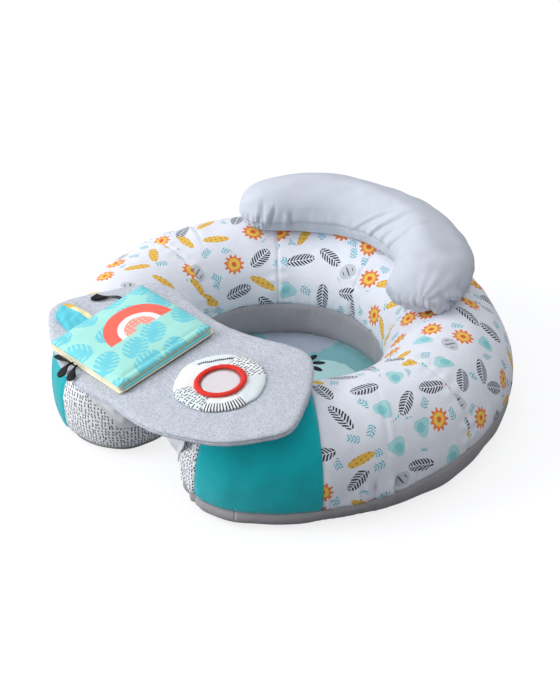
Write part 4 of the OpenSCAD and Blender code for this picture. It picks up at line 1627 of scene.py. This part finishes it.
@dataclass
class BackCushion(Part):
    """The kidney cushion on the back of the ring."""

    body: str = "cushion"
    middle_deg: float = 88.7
    half_span: float = 60.0
    radius: float = 230.0
    half_w: float = 54.0
    half_h: float = 44.0
    height: float = 182.5
    clear: float = 3.4
    shrink: float = 3.0
    cap_mm: float = 9.0
    reach_mm: float = 240.0
    power: float = 0.93

    def crest(self, off: Array) -> Array:
        """Height of the ring's top at a distance from the tube's centre line."""
        inside = np.clip(1 - (off / TUBE.half) ** 2, 0, None)
        return TUBE.mid_z + TUBE.half * np.sqrt(inside)

    def line(self, u: Array) -> Array:
        """Radius of the cushion's middle line at a place along it."""
        return self.radius + 17.7 * u - 22.9 * u * u + 5 * near(u + 0.42, 0.35)

    def drop(self, u: Array) -> Array:
        """How far the middle line falls towards the cushion's ends."""
        return 8 * u * u - 4.5 * blend_in(u, 0.3, 1.0)

    def grid(self, inset: float, rows: int = 180, columns: int = 110) -> Array:
        """Points of the cushion's form, drawn in by an inset.

        Args:
            inset: Millimetres towards the inside.
            rows: Rings along the cushion.
            columns: Points round each ring.

        Returns:
            Array (rows, columns, 3).
        """
        u = np.sin(np.linspace(-math.pi / 2, math.pi / 2, rows))[:, None]
        a = np.linspace(0, 2 * math.pi, columns, endpoint=False)[None, :]
        blunt = np.where(u > 0, 7.0, 5.0)
        full = np.clip(1 - np.abs(u) ** blunt, 0, None) ** np.where(u > 0, 0.476, 0.4)
        angle = np.radians(self.middle_deg + self.half_span * u * (1 - inset / 300))
        wide = np.maximum((self.half_w - 11.3 * u + 10.6 * u * u) * full - inset, 0)
        tall = np.maximum((self.half_h + 2.6 * u) * full ** 0.9 - inset, 0)
        r = self.line(u) + wide * bent(np.cos(a), self.power)
        z = self.height - self.drop(u) + tall * bent(np.sin(a), self.power)
        floor = self.crest(r - TUBE.line_r) + self.clear + inset
        return raised(polar(r, angle), np.maximum(z, floor))

    def swell(self, piece: Piece) -> None:
        """Blows the cushion up as cloth, with each point's travel capped.

        Args:
            piece: The plain form, which gets the swollen mesh.
        """
        remesh = piece.modifiers.new("even_mesh", "REMESH")
        remesh.mode, remesh.voxel_size = "VOXEL", 5 * MM
        self.apply(piece)
        start = vectors(piece.data.vertices, "co")
        cloth = piece.modifiers.new("stuffing", "CLOTH")
        cloth.settings.effector_weights.gravity = 0
        for name, value in (("use_pressure", True), ("uniform_pressure_force", 4),
                            ("mass", 0.3), ("tension_stiffness", 12),
                            ("bending_stiffness", 0.6)):
            setattr(cloth.settings, name, value)
        for step in range(1, 21):
            bpy.context.scene.frame_set(step)
        self.apply(piece)
        bpy.context.scene.frame_set(1)
        move = vectors(piece.data.vertices, "co") - start
        size = np.linalg.norm(move, axis=1, keepdims=True)
        move *= np.minimum(1, self.cap_mm * MM / np.maximum(size, 1e-9))
        piece.data.vertices.foreach_set("co", (start + move).astype(np.float32).ravel())
        smooth = piece.modifiers.new("fine_mesh", "SUBSURF")
        smooth.levels = smooth.render_levels = 1
        self.apply(piece)

    @staticmethod
    def apply(piece: Piece) -> None:
        """Turns the piece's modifiers into plain mesh."""
        graph = bpy.context.evaluated_depsgraph_get()
        made = bpy.data.meshes.new_from_object(piece.evaluated_get(graph))
        piece.modifiers.clear()
        piece.data = made

    def crumple(self, piece: Piece) -> None:
        """Adds the seam round the cushion, puckers at its ends and soft folds.

        Args:
            piece: The swollen cushion.
        """
        mesh = piece.data
        co = vectors(mesh.vertices, "co") / MM
        no = vectors(mesh.vertex_normals, "vector")
        angle = np.degrees(np.arctan2(co[:, 1], co[:, 0]))
        u = (angle - self.middle_deg) / self.half_span
        r = np.hypot(co[:, 0], co[:, 1]) - self.line(u)
        z = co[:, 2] - (self.height - self.drop(u))
        round_it = np.degrees(np.arctan2(z, r))
        reach = np.clip(np.abs(u) - 0.8, 0, None) * self.reach_mm
        tip = np.degrees(np.arctan2(reach, np.abs(r)))
        along = u * self.reach_mm + np.sign(u) * tip * 0.9
        seam_z = -6.0 - 8.0 * blend_in(np.abs(u), 0.75, 0.95)
        rise = 1.1 * ripple(co, 95, 101) + 0.6 * ripple(co, 38, 102)
        ends = blend_in(np.abs(u), 0.72, 0.92)
        edge = np.abs(z - seam_z)
        rise += ends * (2.4 * gathers(along, 13, 103) + 1.2 * gathers(along, 7, 105)
                        ) * near(edge - 7, 11) * np.where(u > 0, 0.6, 1.0)
        rise += 0.5 * ends * gathers(round_it, 40, 106)
        rise += 0.4 * (1 - ends) * gathers(along, 21, 104) * near(edge - 8, 10)
        rise -= 1.9 * near(z - seam_z, 2.8) * np.where(r > 0, 1.0, ends)
        inner = blend_in(-r, -6, 14)
        low = z + 7 + 0.03 * along
        rise += (1.2 * near(low - 8, 7) - 2.4 * near(low, 3.0) - 1.6 * near(low + 9, 9)
                 ) * inner * blend_in(u, -0.5, -0.1) * (1 - blend_in(u, 0.78, 0.9))
        for across, height, turn, long, deep in END_FOLDS:
            run, off = spun(r - across, z - height, -turn)
            off = off + 1.2 * np.sin(run / 5)
            fold = blend_in(-u, 0.78, 0.9) * near(run, long) * deep
            rise += fold * (0.6 * near(off - 8, 5.0) - near(off, 3.4))
        for k, (place, lean, deep, low, high) in enumerate(CREASES):
            off = (u - place) * self.reach_mm + lean * (z - (low + high) / 2)
            span = blend_in(z, low - 8, low + 8) * (1 - blend_in(z, high - 8, high + 8))
            bend = 2.0 * np.sin(z / 11 + k)
            rise -= 1.1 * deep * near(off + bend, 3.8) * span * inner
            rise += 0.8 * deep * near(off + bend - 8, 5.5) * span * inner
        co = co + no * rise[:, None]
        floor = self.crest(np.hypot(co[:, 0], co[:, 1]) - TUBE.line_r) + self.clear - 0.6
        co[:, 2] = np.maximum(co[:, 2], floor)
        mesh.vertices.foreach_set("co", (co * MM).astype(np.float32).ravel())
        mesh.update()

    def build(self) -> None:
        """Builds the cushion and dresses its touch tape."""
        points = self.grid(self.shrink)

        def core(p: Array) -> Array:
            return raised(polar(self.radius, math.atan2(p[1], p[0])), self.height)

        piece = loft("back_cushion", [*points]).build(core)
        self.swell(piece)
        self.crumple(piece)
        piece.data.polygons.foreach_set("use_smooth", [True] * len(piece.data.polygons))
        self.settle(piece, [Finish.JERSEY], ["cushion_cover", "cushion_filling"],
                    fill=0.75)
        self.dress_nodes(Finish.TAPE, "hook_back_right", "hook_back_left")


# ---- the studio ------------------------------------------------------------------------


@dataclass
class Studio:
    """Pale floor, soft lamps, white surround and the camera."""

    eye: tuple[float, float, float] = (1.4693, -1.6292, 1.4667)
    look: tuple[float, float, float] = (-0.0018, -0.0016, 0.0716)
    lens_mm: float = 95.64
    sky: float = 0.97
    side: float = 0.17

    def build_floor(self) -> None:
        """Pale floor that looks white and keeps the seat's shadow."""
        mesh = bpy.data.meshes.new("studio_floor")
        corners = [(x, y, -0.0006) for x, y in ((-6, -6), (6, -6), (6, 6), (-6, 6))]
        mesh.from_pydata(corners, [], [(0, 1, 2, 3)])
        floor = add_object("studio_floor", mesh)
        material = bpy.data.materials.new("painted_floor_pale")
        tree = fresh_tree(material)
        path = put(tree, "ShaderNodeLightPath", out="Is Camera Ray")
        matt = put(tree, "ShaderNodeBsdfDiffuse", {"Color": linear("#8f9093")})
        glow = put(tree, "ShaderNodeEmission", {
            "Color": linear("#ffffff"), "Strength": Number(path) * 0.78})
        put(tree, "ShaderNodeOutputMaterial", {
            "Surface": put(tree, "ShaderNodeAddShader", {0: matt, 1: glow})})
        mesh.materials.append(material)

    def build_sky(self) -> None:
        """Surround: white to the camera and in reflections, as light soft from above."""
        world = bpy.data.worlds.new("surround")
        bpy.context.scene.world = world
        tree = fresh_tree(world)
        path = put(tree, "ShaderNodeLightPath").node.outputs
        seen = (Number(path["Is Camera Ray"]) | path["Is Glossy Ray"]
                | path["Is Transmission Ray"])
        way = put(tree, "ShaderNodeTexCoord", out="Generated")
        up = put(tree, "ShaderNodeSeparateXYZ", {0: way}, out="Z")
        light = Number(up).ranged(0.1, 0.9, self.side, self.sky)
        level = put(tree, "ShaderNodeMix", {0: seen, 2: light, 3: 1.0})
        put(tree, "ShaderNodeOutputWorld", {"Surface": put(
            tree, "ShaderNodeBackground", {
                "Color": (0.97, 0.985, 1.0, 1), "Strength": level})})

    def build_lamp(self, name: str, at: Sequence[float], size: float, power: float) -> None:
        """Soft square lamp that faces the seat.

        Args:
            name: Name of the lamp.
            at: Its place in metres.
            size: Length of its sides in metres.
            power: Its power in watts.
        """
        lamp = bpy.data.lights.new(name, "AREA")
        lamp.size, lamp.energy = size, power
        self.aim(add_object(name, lamp), at)

    def build_camera(self) -> None:
        """Camera at the photograph's angle."""
        camera = bpy.data.cameras.new("camera")
        camera.lens, camera.sensor_width = self.lens_mm, 36
        bpy.context.scene.camera = self.aim(add_object("camera", camera), self.eye)

    def aim(self, piece: Piece, at: Sequence[float]) -> Piece:
        """Puts a lamp or camera at a place, facing the seat, and returns it."""
        piece.location = at
        way = Vector(self.look) - Vector(at)
        piece.rotation_euler = way.to_track_quat("-Z", "Y").to_euler()
        return piece

    def build(self) -> None:
        """Builds the studio."""
        bpy.context.scene.view_settings.view_transform = "Standard"
        self.build_floor()
        self.build_sky()
        self.build_lamp("key_lamp", (-1.75, -1.85, 2.0), 1.3, 38)
        self.build_lamp("front_lamp", (1.2, -2.6, 1.2), 1.5, 1.5)
        self.build_lamp("low_lamp", (-1.6, -2.3, 0.5), 0.9, 32)
        self.build_camera()
        LOG.info("studio ready")


def main() -> None:
    """Builds the seat and its studio."""
    logging.basicConfig(level=logging.INFO, format="%(name)s %(message)s")
    Studio().build()
    for part in (Ring(), SeatFloor(), Zip(), Tray(), MirrorPanel(), Book(),
                 BackCushion()):
        part.build()


if __name__ == "__main__":
    main()
